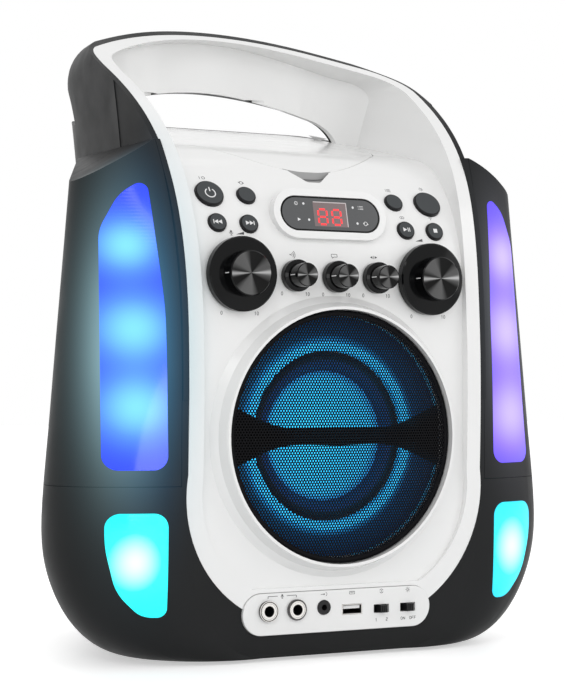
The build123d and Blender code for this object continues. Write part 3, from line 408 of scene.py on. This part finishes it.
FINISHES = {
    "front_baffle": lit_white, "disc_lid": white,
    "main_shell": lit_charcoal, "rear_cover": charcoal,
    "left_wing_cover": lit_charcoal, "right_wing_cover": lit_charcoal,
    "left_upper_light": blue_lens, "right_upper_light": violet_lens,
    "left_lower_light": cyan_left, "right_lower_light": cyan_right,
    "left_light_board": green_board, "right_light_board": green_board, "button_board": green_board,
    "knob_board": green_board, "main_board": green_board, "jack_board": green_board,
    "speaker_grille": grille_paint, "light_ring": ring_glow, "light_reflector": reflector_painted_glow,
    "bridge_bar": grille_paint, "speaker_basket": zinc, "speaker_cone": cone_painted_glow,
    "speaker_surround": surround_painted_glow, "speaker_magnet": ferrite, "display_module": satin_black,
    "heat_sink": bare_aluminium, "jack_plate": white, "microphone_jacks": satin_black,
    "microphone_nuts": nickel, "aux_jack": satin_black, "usb_socket": nickel,
    "switch_bodies": satin_black, "function_switch": satin_black, "light_switch": satin_black,
    "potentiometers": zinc, "lid_hinge_pin": zinc, "disc_well": grey_plastic,
    "disc_hub": satin_black, "spindle_motor": zinc, "pickup_sled": satin_black,
    "guide_rods": nickel, "feet": soft_rubber, "case_screws": zinc, "dc_inlet": satin_black,
    "display_window": gloss_black,
}


def dress(obj, material):
    obj.data.materials.clear()
    obj.data.materials.append(material)
    for polygon in obj.data.polygons:
        polygon.material_index = 0


def dress_where(obj, plain, *others):
    """One finish all over, and others on the faces whose middle, in mm, their test picks."""
    dress(obj, plain)
    for index, (material, picks) in enumerate(others, 1):
        obj.data.materials.append(material)
        for polygon in obj.data.polygons:
            if picks(polygon.center / MM):
                polygon.material_index = index


BUTTONS = {                 # x, lean in degrees, radius
    "power_button": (-73.8, 34.1, 8.8), "repeat_button": (-50.0, 34.1, 5.9),
    "previous_button": (-73.2, 23.2, 5.7), "next_button": (-52.9, 23.2, 5.7),
    "program_button": (50.0, 34.1, 5.9), "light_show_button": (73.8, 34.1, 8.8),
    "play_button": (52.9, 23.2, 5.7), "stop_button": (73.2, 23.2, 5.7)}
CAP_RIM, LID_FRONT_HALF = 0.85, 16.6
KNOB_FACE_Y, JACK_FACE_Y = -110.45, -99.95
LID_MIDDLE_Y, LID_RADIUS = 16.0, 78.0
USB_X, USB_Z, USB_HALF_X, USB_HALF_Z = 9.0, 27.7, 6.27, 2.57
TONGUE_HALF_X, TONGUE_LOW_Z, TONGUE_HIGH_Z, TONGUE_FRONT_Y = 5.52, 27.98, 29.82, -97.5


def on_cap_rim(name):
    """Picks a button's rounded edge and sides."""
    x, lean, radius = BUTTONS[name]
    middle, out = surface(x, lean)

    def picks(centre):
        step = centre - middle
        return (step - out * step.dot(out)).length > radius - CAP_RIM
    return picks


def in_usb_hollow(centre):
    return abs(centre.x - USB_X) < USB_HALF_X and abs(centre.z - USB_Z) < USB_HALF_Z


def on_usb_tongue(centre):
    return (abs(centre.x - USB_X) < TONGUE_HALF_X and TONGUE_LOW_Z < centre.z < TONGUE_HIGH_Z
            and centre.y > TONGUE_FRONT_Y)


# Picks the lid's front edge over the notch, which gets painted shade.
def on_lid_front(centre):
    from_middle = math.hypot(centre.x, centre.y - LID_MIDDLE_Y)
    return abs(centre.x) < LID_FRONT_HALF and centre.y < 0 and from_middle > LID_RADIUS - 0.2


for name, obj in nodes.items():
    if name.endswith("_knob"):
        dress_where(obj, gloss_black, (knob_face, lambda centre: centre.y < KNOB_FACE_Y))
    elif name.endswith("_button"):
        dress_where(obj, cap_rubber, (cap_rim, on_cap_rim(name)))
    elif name == "microphone_jacks":
        dress_where(obj, satin_black, (nickel, lambda centre: centre.y < JACK_FACE_Y))
    elif name == "disc_lid":
        dress_where(obj, white, (painted_shade_white, on_lid_front))
    elif name == "usb_socket":
        dress_where(obj, nickel, (satin_black, in_usb_hollow), (print_white, on_usb_tongue))
    else:
        dress(obj, FINISHES[name])


# ------------------------------------------------------------------ mesh helpers
def mesh_object(name, corners, faces, material):
    mesh = bpy.data.meshes.new(name)
    mesh.from_pydata(corners, [], faces)
    mesh.update()
    obj = bpy.data.objects.new(name, mesh)
    bpy.context.collection.objects.link(obj)
    mesh.materials.append(material)
    return obj


def new_piece(name, corners, faces, material, body="case", slot=None, smooth=False):
    """A mesh piece in row-frame metres that moves with a CAD body."""
    obj = mesh_object(name, corners, faces, material)
    if smooth:
        obj.data.polygons.foreach_set("use_smooth", [True] * len(obj.data.polygons))
    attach(obj, body)
    return obj


def raised(name, outlines, placed, material, body="case", low=-0.05, high=0.08, slot=None):
    """Flat marks: closed outlines in local millimetres, each a thin plate on a placed surface."""
    corners, faces = [], []
    for outline in outlines:
        start, count = len(corners), len(outline)
        for z in (low, high):
            corners += [placed @ Vector((x, y, z)) for x, y in outline]
        faces.append([start + i for i in reversed(range(count))])
        faces.append([start + count + i for i in range(count)])
        for i in range(count):
            j = (i + 1) % count
            faces.append([start + i, start + j, start + count + j, start + count + i])
    return new_piece(name, corners, faces, material, body, slot)


def bar(x0, y0, x1, y1, width):
    """Straight stroke."""
    dx, dy = x1 - x0, y1 - y0
    length = math.hypot(dx, dy)
    nx, ny = -dy / length * width / 2, dx / length * width / 2
    return [(x0 - nx, y0 - ny), (x1 - nx, y1 - ny), (x1 + nx, y1 + ny), (x0 + nx, y0 + ny)]


def oval_arc(cx, cy, rx, ry, width, start, end, steps):
    """Curved stroke on an oval between two angles in degrees, anticlockwise."""
    outer, inner = [], []
    for i in range(steps + 1):
        a = math.radians(start + (end - start) * i / steps)
        outer.append((cx + (rx + width / 2) * math.cos(a), cy + (ry + width / 2) * math.sin(a)))
        inner.append((cx + (rx - width / 2) * math.cos(a), cy + (ry - width / 2) * math.sin(a)))
    return outer + inner[::-1]


def arc_stroke(cx, cy, radius, width, start, end, steps=14):
    return oval_arc(cx, cy, radius, radius, width, start, end, steps)


def ring(cx, cy, rx, ry, width, steps=10):
    """A closed oval stroke, as two halves."""
    return [oval_arc(cx, cy, rx, ry, width, first, first + 180, steps) for first in (0, 180)]


def dot(cx, cy, radius, steps=16):
    turns = [2 * math.pi * i / steps for i in range(steps)]
    return [(cx + radius * math.cos(a), cy + radius * math.sin(a)) for a in turns]


# ------------------------------------------------------------------ perforated grille
PITCH, HOLE, SHEET = 1.75, 0.66, 0.8
RIM_REACH, RIM_REAR_Y = 2.6, -97.8
DOME_APEX_Y, DOME_EDGE_Y = -108.3, -102.4
DOME_RISE = DOME_EDGE_Y - DOME_APEX_Y
DOME = (GRILLE_RADIUS ** 2 + DOME_RISE ** 2) / (2 * DOME_RISE)      # radius of the dome's sphere


def dome_y(radius, skin=0.0):
    """Where the dome lies at a distance from the speaker's axis, and a skin's thickness behind."""
    return DOME_APEX_Y + DOME - math.sqrt((DOME - skin) ** 2 - radius ** 2)


def grille_mesh():
    """Cells of a honeycomb over the dome, each with a six-sided hole."""
    corners, faces = [], []
    turns = [math.pi / 6 + i * math.pi / 3 for i in range(6)]
    hexagon = [(math.cos(a), math.sin(a)) for a in turns]
    row_step, reach = PITCH * math.sqrt(3) / 2, GRILLE_RADIUS - RIM_REACH
    cell = PITCH / math.sqrt(3)
    rows = int(reach / row_step) + 1
    for row in range(-rows, rows + 1):
        v = row * row_step
        shift = PITCH / 2 if row % 2 else 0.0
        columns = int(reach / PITCH) + 1
        for column in range(-columns, columns + 1):
            u = column * PITCH + shift
            if math.hypot(u, v) > reach:
                continue
            start = len(corners)
            for size in (cell, HOLE):
                for skin in (0.0, SHEET):
                    for hx, hz in hexagon:
                        x, z = u + hx * size, v + hz * size
                        y = dome_y(math.hypot(x, z), skin)
                        corners.append((x * MM, y * MM, (SPEAKER_Z + z) * MM))
            for i in range(6):
                j = (i + 1) % 6
                front_out, back_out, front_in, back_in = start, start + 6, start + 12, start + 18
                faces.append((front_out + i, front_in + i, front_in + j, front_out + j))
                faces.append((back_out + j, back_in + j, back_in + i, back_out + i))
                faces.append((front_in + i, back_in + i, back_in + j, front_in + j))
    return corners, faces


corners, faces = grille_mesh()
perforated = new_piece("grille_mesh", corners, faces, grille_paint, slot="grille_steel")
RIM_PROFILE = [             # in from the grille's edge, and behind the dome's front
    (3.4, 0.12), (1.2, -0.15), (0.3, 0.25), (0.0, 1.1), (0.0, None), (1.2, None), (1.4, 1.2),
    (3.4, 0.9)]             # None: on the rear plane


def lathe(profile, x, z, steps=96):
    """Corners and faces of a closed profile (radius, y) turned about a front-to-rear axis."""
    corners, faces = [], []
    count = len(profile)
    for i in range(steps):
        a = 2 * math.pi * i / steps
        corners += [((x + r * math.cos(a)) * MM, y * MM, (z + r * math.sin(a)) * MM)
                    for r, y in profile]
    for i in range(steps):
        j = (i + 1) % steps
        for k in range(count):
            n = (k + 1) % count
            faces.append((i * count + k, i * count + n, j * count + n, j * count + k))
    return corners, faces


rim = []
for inward, behind in RIM_PROFILE:
    radius = GRILLE_RADIUS - inward
    rim.append((radius, RIM_REAR_Y if behind is None else dome_y(radius) + behind))
corners, faces = lathe(rim, 0, SPEAKER_Z)
grille_rim = new_piece("grille_rim", corners, faces, grille_paint, slot="grille_steel", smooth=True)
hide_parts("speaker_grille")
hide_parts("speaker_grille")

# ------------------------------------------------------------------ printed marks
BUTTON_STANDS, MARK_DEPTH, MARK_HEIGHT = 1.8, 0.06, 0.05


def strokes(width, *runs):
    """Straight strokes along each run of points."""
    return [bar(*a, *b, width) for run in runs for a, b in zip(run, run[1:])]


def wedge(tip_x, back_x, half, cy=0.0):
    """A solid triangle that points along X."""
    corners = [(tip_x, cy), (back_x, cy + half), (back_x, cy - half)]
    return corners if tip_x < back_x else corners[::-1]


def moved(outlines, dx, dy=0.0, size=1.0):
    return [[(x * size + dx, y * size + dy) for x, y in outline] for outline in outlines]


def rays(count, near, far, width):
    turns = [2 * math.pi * i / count for i in range(count)]
    return [bar(near * math.cos(a), near * math.sin(a), far * math.cos(a), far * math.sin(a), width)
            for a in turns]


def numeral(figure, cx, cy, height=2.0, width=0.28):
    """A plain 0, 1 or 2, or a row of them, centred."""
    wide, gap = height * 0.5, height * 0.28
    low, high = cy - height / 2, cy + height / 2
    pieces, x = [], cx - (len(figure) * wide + (len(figure) - 1) * gap) / 2 + wide / 2
    for character in figure:
        left, right = x - wide / 2, x + wide / 2
        if character == "0":
            pieces += ring(x, cy, wide / 2, height / 2, width)
        elif character == "1":
            pieces += strokes(width, [(x - wide / 3, cy + height * 0.25), (x, high), (x, low)])
        else:
            pieces += strokes(width, [(left, high), (right, high), (right, cy), (left, cy),
                                      (left, low), (right, low)])
        x += wide + gap
    return pieces


def word(letters, cx, cy, height=1.8, width=0.26):
    """ON or OFF in plain strokes."""
    wide, gap = height * 0.72, height * 0.3
    x = cx - (len(letters) * wide + (len(letters) - 1) * gap) / 2 + wide / 2
    pieces = []
    for letter in letters:
        left, right, low, high = x - wide / 2, x + wide / 2, cy - height / 2, cy + height / 2
        if letter == "O":
            pieces += ring(x, cy, wide / 2, height / 2, width)
        elif letter == "N":
            pieces += strokes(width, [(left, low), (left, high), (right, low), (right, high)])
        else:
            pieces += strokes(width, [(left, low), (left, high), (right, high)],
                              [(left, cy), (right - 0.3, cy)])
        x += wide + gap
    return pieces


MICROPHONE = (ring(0, 0.7, 0.55, 0.8, 0.3) + [dot(0, 0.7, 0.42)]
              + [arc_stroke(0, 0.5, 1.2, 0.26, 190, 350)]
              + strokes(0.26, [(0, -0.7), (0, -1.5)], [(-0.7, -1.5), (0.7, -1.5)]))
LOUDER = [[(-2.6, -0.9), (2.6, -0.9), (2.6, 0.9)]]
ECHO = [arc_stroke(-1.6, 0, r, 0.3, -50, 50, 8) for r in (0.9, 1.9, 2.9)] + [dot(-1.9, 0, 0.42)]
SPEECH = strokes(0.28, [(-1.9, 1.1), (1.9, 1.1), (1.9, -0.6), (-0.4, -0.6), (-1.3, -1.4),
                        (-1.3, -0.6), (-1.9, -0.6), (-1.9, 1.1)])
BALANCE = [wedge(-2.4, -0.8, 0.8), wedge(2.4, 0.8, 0.8)] + strokes(0.28, [(0, -1.0), (0, 1.0)])
ON_OFF_MARK = strokes(0.32, [(-1.5, -1.0), (-1.5, 1.0)]) + ring(1.0, 0, 0.95, 1.0, 0.32)
LOOP = [arc_stroke(0, 0, 1.15, 0.3, 20, 160), arc_stroke(0, 0, 1.15, 0.3, 200, 340),
        [(-1.9, 0.5), (-0.5, 0.5), (-1.2, -0.5)], [(1.9, -0.5), (0.5, -0.5), (1.2, 0.5)]]
ROWS = (strokes(0.28, *[[(-0.9, y), (1.7, y)] for y in (0.9, 0, -0.9)])
        + [dot(-1.6, y, 0.22, 8) for y in (-0.9, 0, 0.9)])
LAMP = ring(0, 0, 0.6, 0.6, 0.26) + rays(8, 1.0, 1.55, 0.24)
LINKS = ring(-0.7, 0, 0.75, 0.75, 0.26) + ring(0.7, 0, 0.75, 0.75, 0.26)
WAVES = [dot(0, -0.8, 0.3, 10)] + [arc_stroke(0, -0.8, r, 0.26, 45, 135, 8) for r in (0.9, 1.7)]
INPUT = (strokes(0.28, [(-2.0, 0), (0.2, 0)]) + [wedge(0.9, -0.1, 0.6)]
         + [arc_stroke(1.0, 0, 1.05, 0.26, -75, 75, 8)])
SOCKET = strokes(0.26, [(-1.7, -0.75), (1.7, -0.75), (1.7, 0.75), (-1.7, 0.75), (-1.7, -0.75)],
                 [(-1.1, 0.2), (1.1, 0.2)])
POWER = [arc_stroke(0, 0, 2.5, 0.55, 122, 418, 22)] + [bar(0, 0.9, 0, 3.3, 0.55)]
BACK = strokes(0.5, [(-2.5, -1.2), (-2.5, 1.2)]) + [wedge(-2.2, 0.0, 1.25), wedge(0.0, 2.3, 1.25)]
FORWARD = [[(-x, y) for x, y in outline][::-1] for outline in BACK]
PLAY = [wedge(0.2, -2.1, 1.3)] + strokes(0.5, [(0.9, -1.2), (0.9, 1.2)], [(1.9, -1.2), (1.9, 1.2)])
STOP = [[(-1.3, -1.3), (1.3, -1.3), (1.3, 1.3), (-1.3, 1.3)]]


def on_panel(x, z):
    return axes_at(*panel_at(x, z))


def mark(name, outlines, placed, material, body="case", slot="white_abs"):
    return raised(name, outlines, placed, material, body, -MARK_DEPTH, MARK_HEIGHT, slot)


BUTTON_ICONS = {
    "power_button": moved(POWER, 0.2, -0.3, 1.25), "previous_button": moved(BACK, 0, 0, 1.1),
    "next_button": moved(FORWARD, 0, 0, 1.1), "play_button": moved(PLAY, 0, 0, 1.1),
    "stop_button": STOP}
for name, icon in BUTTON_ICONS.items():
    x, lean, _ = BUTTONS[name]
    mark(name + "_icon", icon, axes_at(*surface(x, lean, -BUTTON_STANDS)), print_white,
         name + "_body", "grey_rubber")

KNOBS = {                   # x, radius
    "microphone_volume_knob": (-63.2, 13.2), "master_volume_knob": (63.2, 13.2),
    "echo_knob": (-27.1, 7.2), "talk_over_knob": (0.0, 7.2), "balance_knob": (27.1, 7.2)}
SIDE_MARK_Y, SIDE_MARK_LIFT = -105.3, 0.12


def on_knob_side(x, radius):
    """Placement on a knob's left side: local X to the front, local Y up, local Z out."""
    return Matrix(((0, 0, -MM, (x - radius + SIDE_MARK_LIFT) * MM), (-MM, 0, 0, SIDE_MARK_Y * MM),
                   (0, MM, 0, KNOB_Z * MM), (0, 0, 0, 1)))


# A short white mark on each knob's left side.
for name, (x, radius) in KNOBS.items():
    mark(name + "_side_mark", [bar(-2.6, 0, 2.6, 0, 0.55)], on_knob_side(x, radius), print_white,
         name + "_body", "black_gloss")

PANEL_MARKS = {
    "power_mark": (ON_OFF_MARK, -74.7, 278.4), "repeat_mark": (LOOP, -50.0, 276.5),
    "program_mark": (ROWS, 50.0, 276.5), "light_show_mark": (LAMP, 74.7, 278.6),
    "link_mark": (LINKS, 52.9, 259.3), "wireless_mark": (WAVES, 73.2, 259.5),
    "microphone_volume_mark": (moved(MICROPHONE, -4.2) + moved(LOUDER, 1.4), -61.0, 245.6),
    "master_volume_mark": (LOUDER, 61.0, 245.6), "echo_mark": (ECHO, -26.8, 234.0),
    "talk_over_mark": (SPEECH, 0.6, 234.0), "balance_mark": (BALANCE, 27.4, 234.0)}
for name, (outlines, x, z) in PANEL_MARKS.items():
    mark(name, outlines, on_panel(x, z), print_grey)
for name, (x, radius) in KNOBS.items():
    reach, z = (11.2, 199.4) if radius > 10 else (8.4, 211.2)
    mark(name + "_scale", numeral("0", -reach, 0) + numeral("10", reach, 0), on_panel(x, z),
         print_grey)

PLATE_Y, PLATE_MARK_Z, PLATE_LOW_Z = -98.2, 37.3, 20.6


def on_plate(x, z):
    return axes_at(Vector((x, PLATE_Y, z)), Vector((0, -1, 0)))


PLATE_MARKS = {
    "microphone_plate_mark": (strokes(0.3, [(-9.2, -0.9), (-9.2, 0.4), (-3.0, 0.4)],
                                      [(3.0, 0.4), (9.2, 0.4), (9.2, -0.9)])
                              + moved(MICROPHONE, 0, 0.1, 0.8), -37.2, PLATE_MARK_Z),
    "aux_plate_mark": (INPUT, -9.9, PLATE_MARK_Z), "usb_plate_mark": (SOCKET, 9.0, PLATE_MARK_Z),
    "function_plate_mark": (LOOP[:2] + [dot(0, 0, 0.35)], 28.9, PLATE_MARK_Z),
    "light_plate_mark": (LAMP, 47.0, PLATE_MARK_Z),
    "function_scale": (numeral("1", -3.6, 0, 1.8) + numeral("2", 3.6, 0, 1.8), 28.9, PLATE_LOW_Z),
    "light_scale": (word("ON", -3.4, 0, 1.6) + word("OFF", 3.4, 0, 1.6), 47.0, PLATE_LOW_Z)}
for name, (outlines, x, z) in PLATE_MARKS.items():
    mark(name, outlines, on_plate(x, z), print_black)

# ------------------------------------------------------------------ jack rims and the thumb scoop
NUT_FRONT_Y, NUT_Z = -100.1, 29.3
NUT_RIM = [(radius, NUT_FRONT_Y + behind) for radius, behind in (
    (5.1, -0.06), (5.62, -0.06), (6.06, 0.38), (6.06, 1.8), (5.9, 1.8), (5.1, 0.2))]
for number, x in enumerate((-46.4, -28.0), 1):
    corners, faces = lathe(NUT_RIM, x, NUT_Z, 48)
    new_piece(f"microphone_jack_rim_{number}", corners, faces, dark_chrome, slot="nickel")

BROW_Y, BROW_Z, BROW_RADIUS, BREAK_LEAN = -17.207, 237.853, 65.6, 47.0
SCOOP_EDGE = [(-57.3, 16.4), (-62.0, 13.9), (-66.0, 8.4), (-68.9, 4.4)]     # y, half width
SCOOP_DEPTH, SCOOP_HOLLOW, SCOOP_RISE = 3.5, 1.2, 2.4
SCOOP_REACH, SCOOP_MARGIN = 7.0, 0.6


def below_brow(x, y, below):
    """A point inward from the brow's surface at (x, y), along its normal; in metres."""
    break_y = BROW_Y - BROW_RADIUS * math.cos(math.radians(BREAK_LEAN))
    if y > break_y:
        middle_y, middle_z, radius = BROW_Y, BROW_Z, BROW_RADIUS
    else:
        middle_y, middle_z, radius = PANEL_Y + PANEL_RADIUS, PANEL_ARC_Z, PANEL_RADIUS
    a = math.acos((middle_y - y) / radius)
    reach = radius - below
    return x * MM, (middle_y - reach * math.cos(a)) * MM, (middle_z + reach * math.sin(a)) * MM


def scoop_width(y):
    """Half the scoop's width at a y."""
    for (y0, w0), (y1, w1) in zip(SCOOP_EDGE, SCOOP_EDGE[1:]):
        if y >= y1:
            return w0 + (w1 - w0) * (y0 - y) / (y0 - y1)
    return SCOOP_EDGE[-1][1]


def thumb_scoop(rows=18, columns=24, thickness=0.8):
    """The hollow under the front of the lid, deepest below the lid's edge."""
    corners, faces = [], []
    rear_y, front_y = SCOOP_EDGE[0][0], SCOOP_EDGE[-1][0]
    for layer in (0.0, thickness):
        for row in range(rows + 1):
            y = rear_y + (front_y - rear_y) * row / rows
            half = scoop_width(y) + SCOOP_MARGIN
            for column in range(columns + 1):
                x = half * (2 * column / columns - 1)
                past_lid = max(0.0, math.hypot(x, y - LID_MIDDLE_Y) - LID_RADIUS)
                out = min(1.0, past_lid / SCOOP_REACH)
                hollow = SCOOP_HOLLOW * (1 - (x / half) ** 2) * (1 - out)
                depth = SCOOP_DEPTH + hollow - SCOOP_RISE * out ** 1.3
                corners.append(below_brow(x, y, depth + layer))
    step, sheet = columns + 1, (rows + 1) * (columns + 1)
    for row in range(rows):
        for column in range(columns):
            a = row * step + column
            faces.append((a, a + step, a + step + 1, a + 1))
            faces.append((sheet + a, sheet + a + 1, sheet + a + step + 1, sheet + a + step))
    edge = list(range(columns)) + [row * step + columns for row in range(rows)]
    edge += [rows * step + column for column in range(columns, 0, -1)]
    edge += [row * step for row in range(rows, 0, -1)]
    faces += [(a, b, sheet + b, sheet + a) for a, b in zip(edge, edge[1:] + edge[:1])]
    return corners, faces


# The scoop is white plastic, darkened to grey as painted shade.
new_piece("thumb_scoop", *thumb_scoop(), painted_shade_white, slot="white_abs", smooth=True)

# ------------------------------------------------------------------ display figures
DISPLAY_MIDDLE = Vector((0, -89.0, 258.7))
on_display = axes_at(DISPLAY_MIDDLE, Vector((0, -math.cos(DISPLAY_LEAN), math.sin(DISPLAY_LEAN))))

SEGMENTS = [                # ends of the seven strokes, as shares of the figure's width and height
    ((0.16, 1), (0.84, 1)), ((0.16, 0.5), (0.84, 0.5)), ((0.16, 0), (0.84, 0)),
    ((0, 0.92), (0, 0.58)), ((1, 0.92), (1, 0.58)), ((0, 0.42), (0, 0.08)), ((1, 0.42), (1, 0.08))]
DIGIT_WIDTH, DIGIT_HEIGHT, DIGIT_STROKE = 5.7, 9.2, 1.15


def digit(left, bottom):
    """An 8, with all seven strokes lit."""
    ends = [[(left + u * DIGIT_WIDTH, bottom + v * DIGIT_HEIGHT) for u, v in pair]
            for pair in SEGMENTS]
    return [bar(*a, *b, DIGIT_STROKE) for a, b in ends]


red_glow = glowing("lit_red_segments", (0.5, 0.02, 0.02), (1.0, 0.035, 0.05), 0.95)
# Painted reflection and painted highlight: a grey glowing patch on the window, and a brighter line
# along its right and top edges.
painted_reflection_grey = glowing("display_painted_reflection", (0.10, 0.09, 0.09), (0.16, 0.09, 0.09), 0.6)
painted_highlight_edge = glowing("display_painted_highlight", (0.3, 0.3, 0.3), (0.5, 0.42, 0.42), 0.7)
FACE_HALF, FACE_ROUND, PATCH_HALF_X, PATCH_HALF_Z = 22.6, 9.6, 11.3, 7.6
HALF_TURN = [math.pi * i / 24 for i in range(25)]
FACE = [(side * (FACE_HALF + FACE_ROUND * math.sin(a)), side * FACE_ROUND * math.cos(a))
        for side in (1, -1) for a in HALF_TURN]
REFLECTION_PATCH = [(-PATCH_HALF_X, -PATCH_HALF_Z), (PATCH_HALF_X, -PATCH_HALF_Z), (PATCH_HALF_X, PATCH_HALF_Z), (-PATCH_HALF_X, PATCH_HALF_Z)]
LAMPS = [dot(u, v, 0.75) for u, v in ((-17.5, 6.0), (-14.9, -3.8), (15.6, 4.9), (17.6, -4.9))]
LAMP_MARKS = (moved(ring(0, 0, 1.0, 1.0, 0.3) + [dot(0, 0, 0.3)], -22.5, 6.0)
              + moved([wedge(1.2, -0.9, 1.0)], -21.5, -3.8)
              + moved(ROWS, 21.0, 4.9) + moved(LOOP, 23.2, -4.9))
DISPLAY_PIECES = {          # outlines, material, low and high face along the display's normal
    "display_face": ([FACE], window_face, -0.32, -0.185),
    # Painted reflection: the grey glowing patch.
    "display_reflection_patch": ([REFLECTION_PATCH], painted_reflection_grey, -0.26, -0.16),
    # Painted highlight along the patch's right and top edges.
    "display_painted_highlight": (strokes(0.5, [(11.0, -7.4), (11.0, 7.3), (-11.0, 7.3)]), painted_highlight_edge,
                           -0.18, -0.12),
    "display_digits": (digit(-8.3, -6.3) + digit(1.1, -6.3), red_glow, -0.18, -0.10),
    "display_lamps": (LAMPS, print_white, -0.26, -0.14),
    "display_marks": (LAMP_MARKS, print_white, -0.26, -0.14)}
for name, (outlines, material, low, high) in DISPLAY_PIECES.items():
    raised(name, outlines, on_display, material, low=low, high=high, slot="display_lens")

# ------------------------------------------------------------------ floor, light and camera
floor_material, tree, shader = new_material("pale_floor")
shader.inputs["Base Color"].default_value = (0.84, 0.84, 0.84, 1)
shader.inputs["Roughness"].default_value = 0.42
shader.inputs["Emission Color"].default_value = (1, 1, 1, 1)


def background_rays(tree):
    """1 for the rays that show the background: the camera's, reflections and rays through glass."""
    path = tree.nodes.new("ShaderNodeLightPath")
    through = math_node(tree, "MAXIMUM", path.outputs["Is Glossy Ray"],
                        path.outputs["Is Transmission Ray"])
    return math_node(tree, "MAXIMUM", path.outputs["Is Camera Ray"], through)


FLOOR_HALF, FLOOR_GLOW = 6.0, 0.5
tree.links.new(times(tree, background_rays(tree), FLOOR_GLOW), shader.inputs["Emission Strength"])
floor_corners = [(-FLOOR_HALF, -FLOOR_HALF, 0), (FLOOR_HALF, -FLOOR_HALF, 0),
                 (FLOOR_HALF, FLOOR_HALF, 0), (-FLOOR_HALF, FLOOR_HALF, 0)]
floor = mesh_object("floor", floor_corners, [(0, 1, 2, 3)], floor_material)

world = bpy.data.worlds.new("studio")
bpy.context.scene.world = world
world.use_nodes = True
WORLD_LIGHT, WORLD_EXTRA = 0.7, 0.3     # on the object, and added where the background shows
tree = world.node_tree
background = tree.nodes["Background"]
background.inputs["Color"].default_value = (1, 1, 1, 1)
level = plus(tree, times(tree, background_rays(tree), WORLD_EXTRA), WORLD_LIGHT)
tree.links.new(level, background.inputs["Strength"])


def area_light(name, place, target, size, power):
    data = bpy.data.lights.new(name, "AREA")
    data.shape = "RECTANGLE"
    data.size, data.size_y = size
    data.energy = power
    obj = bpy.data.objects.new(name, data)
    bpy.context.collection.objects.link(obj)
    obj.location = place
    obj.rotation_mode = "QUATERNION"
    obj.rotation_quaternion = (Vector(target) - Vector(place)).to_track_quat("-Z", "Y")


area_light("key", (-1.3, -1.6, 1.4), (0, 0, 0.2), (1.0, 1.0), 8)
area_light("fill", (1.6, -1.4, 0.9), (0, 0, 0.2), (1.0, 1.4), 5)
area_light("front", (-0.2, -2.1, 0.35), (0, 0, 0.25), (1.4, 0.5), 6)
area_light("top", (0.1, 0.3, 2.0), (0, 0, 0.2), (1.2, 1.2), 1.5)

CAMERA_AT, CAMERA_AIM = Vector((-0.5743, -1.1062, 0.1588)), Vector((0.0, -0.0300, 0.1802))
camera = bpy.data.objects.new("camera", bpy.data.cameras.new("camera"))
bpy.context.collection.objects.link(camera)
camera.location = CAMERA_AT
camera.rotation_mode = "QUATERNION"
camera.rotation_quaternion = (CAMERA_AIM - CAMERA_AT).to_track_quat("-Z", "Y")
camera.data.lens = 102.5
camera.data.sensor_width = 36.0
bpy.context.scene.camera = camera
bpy.context.scene.view_settings.view_transform = "Standard"
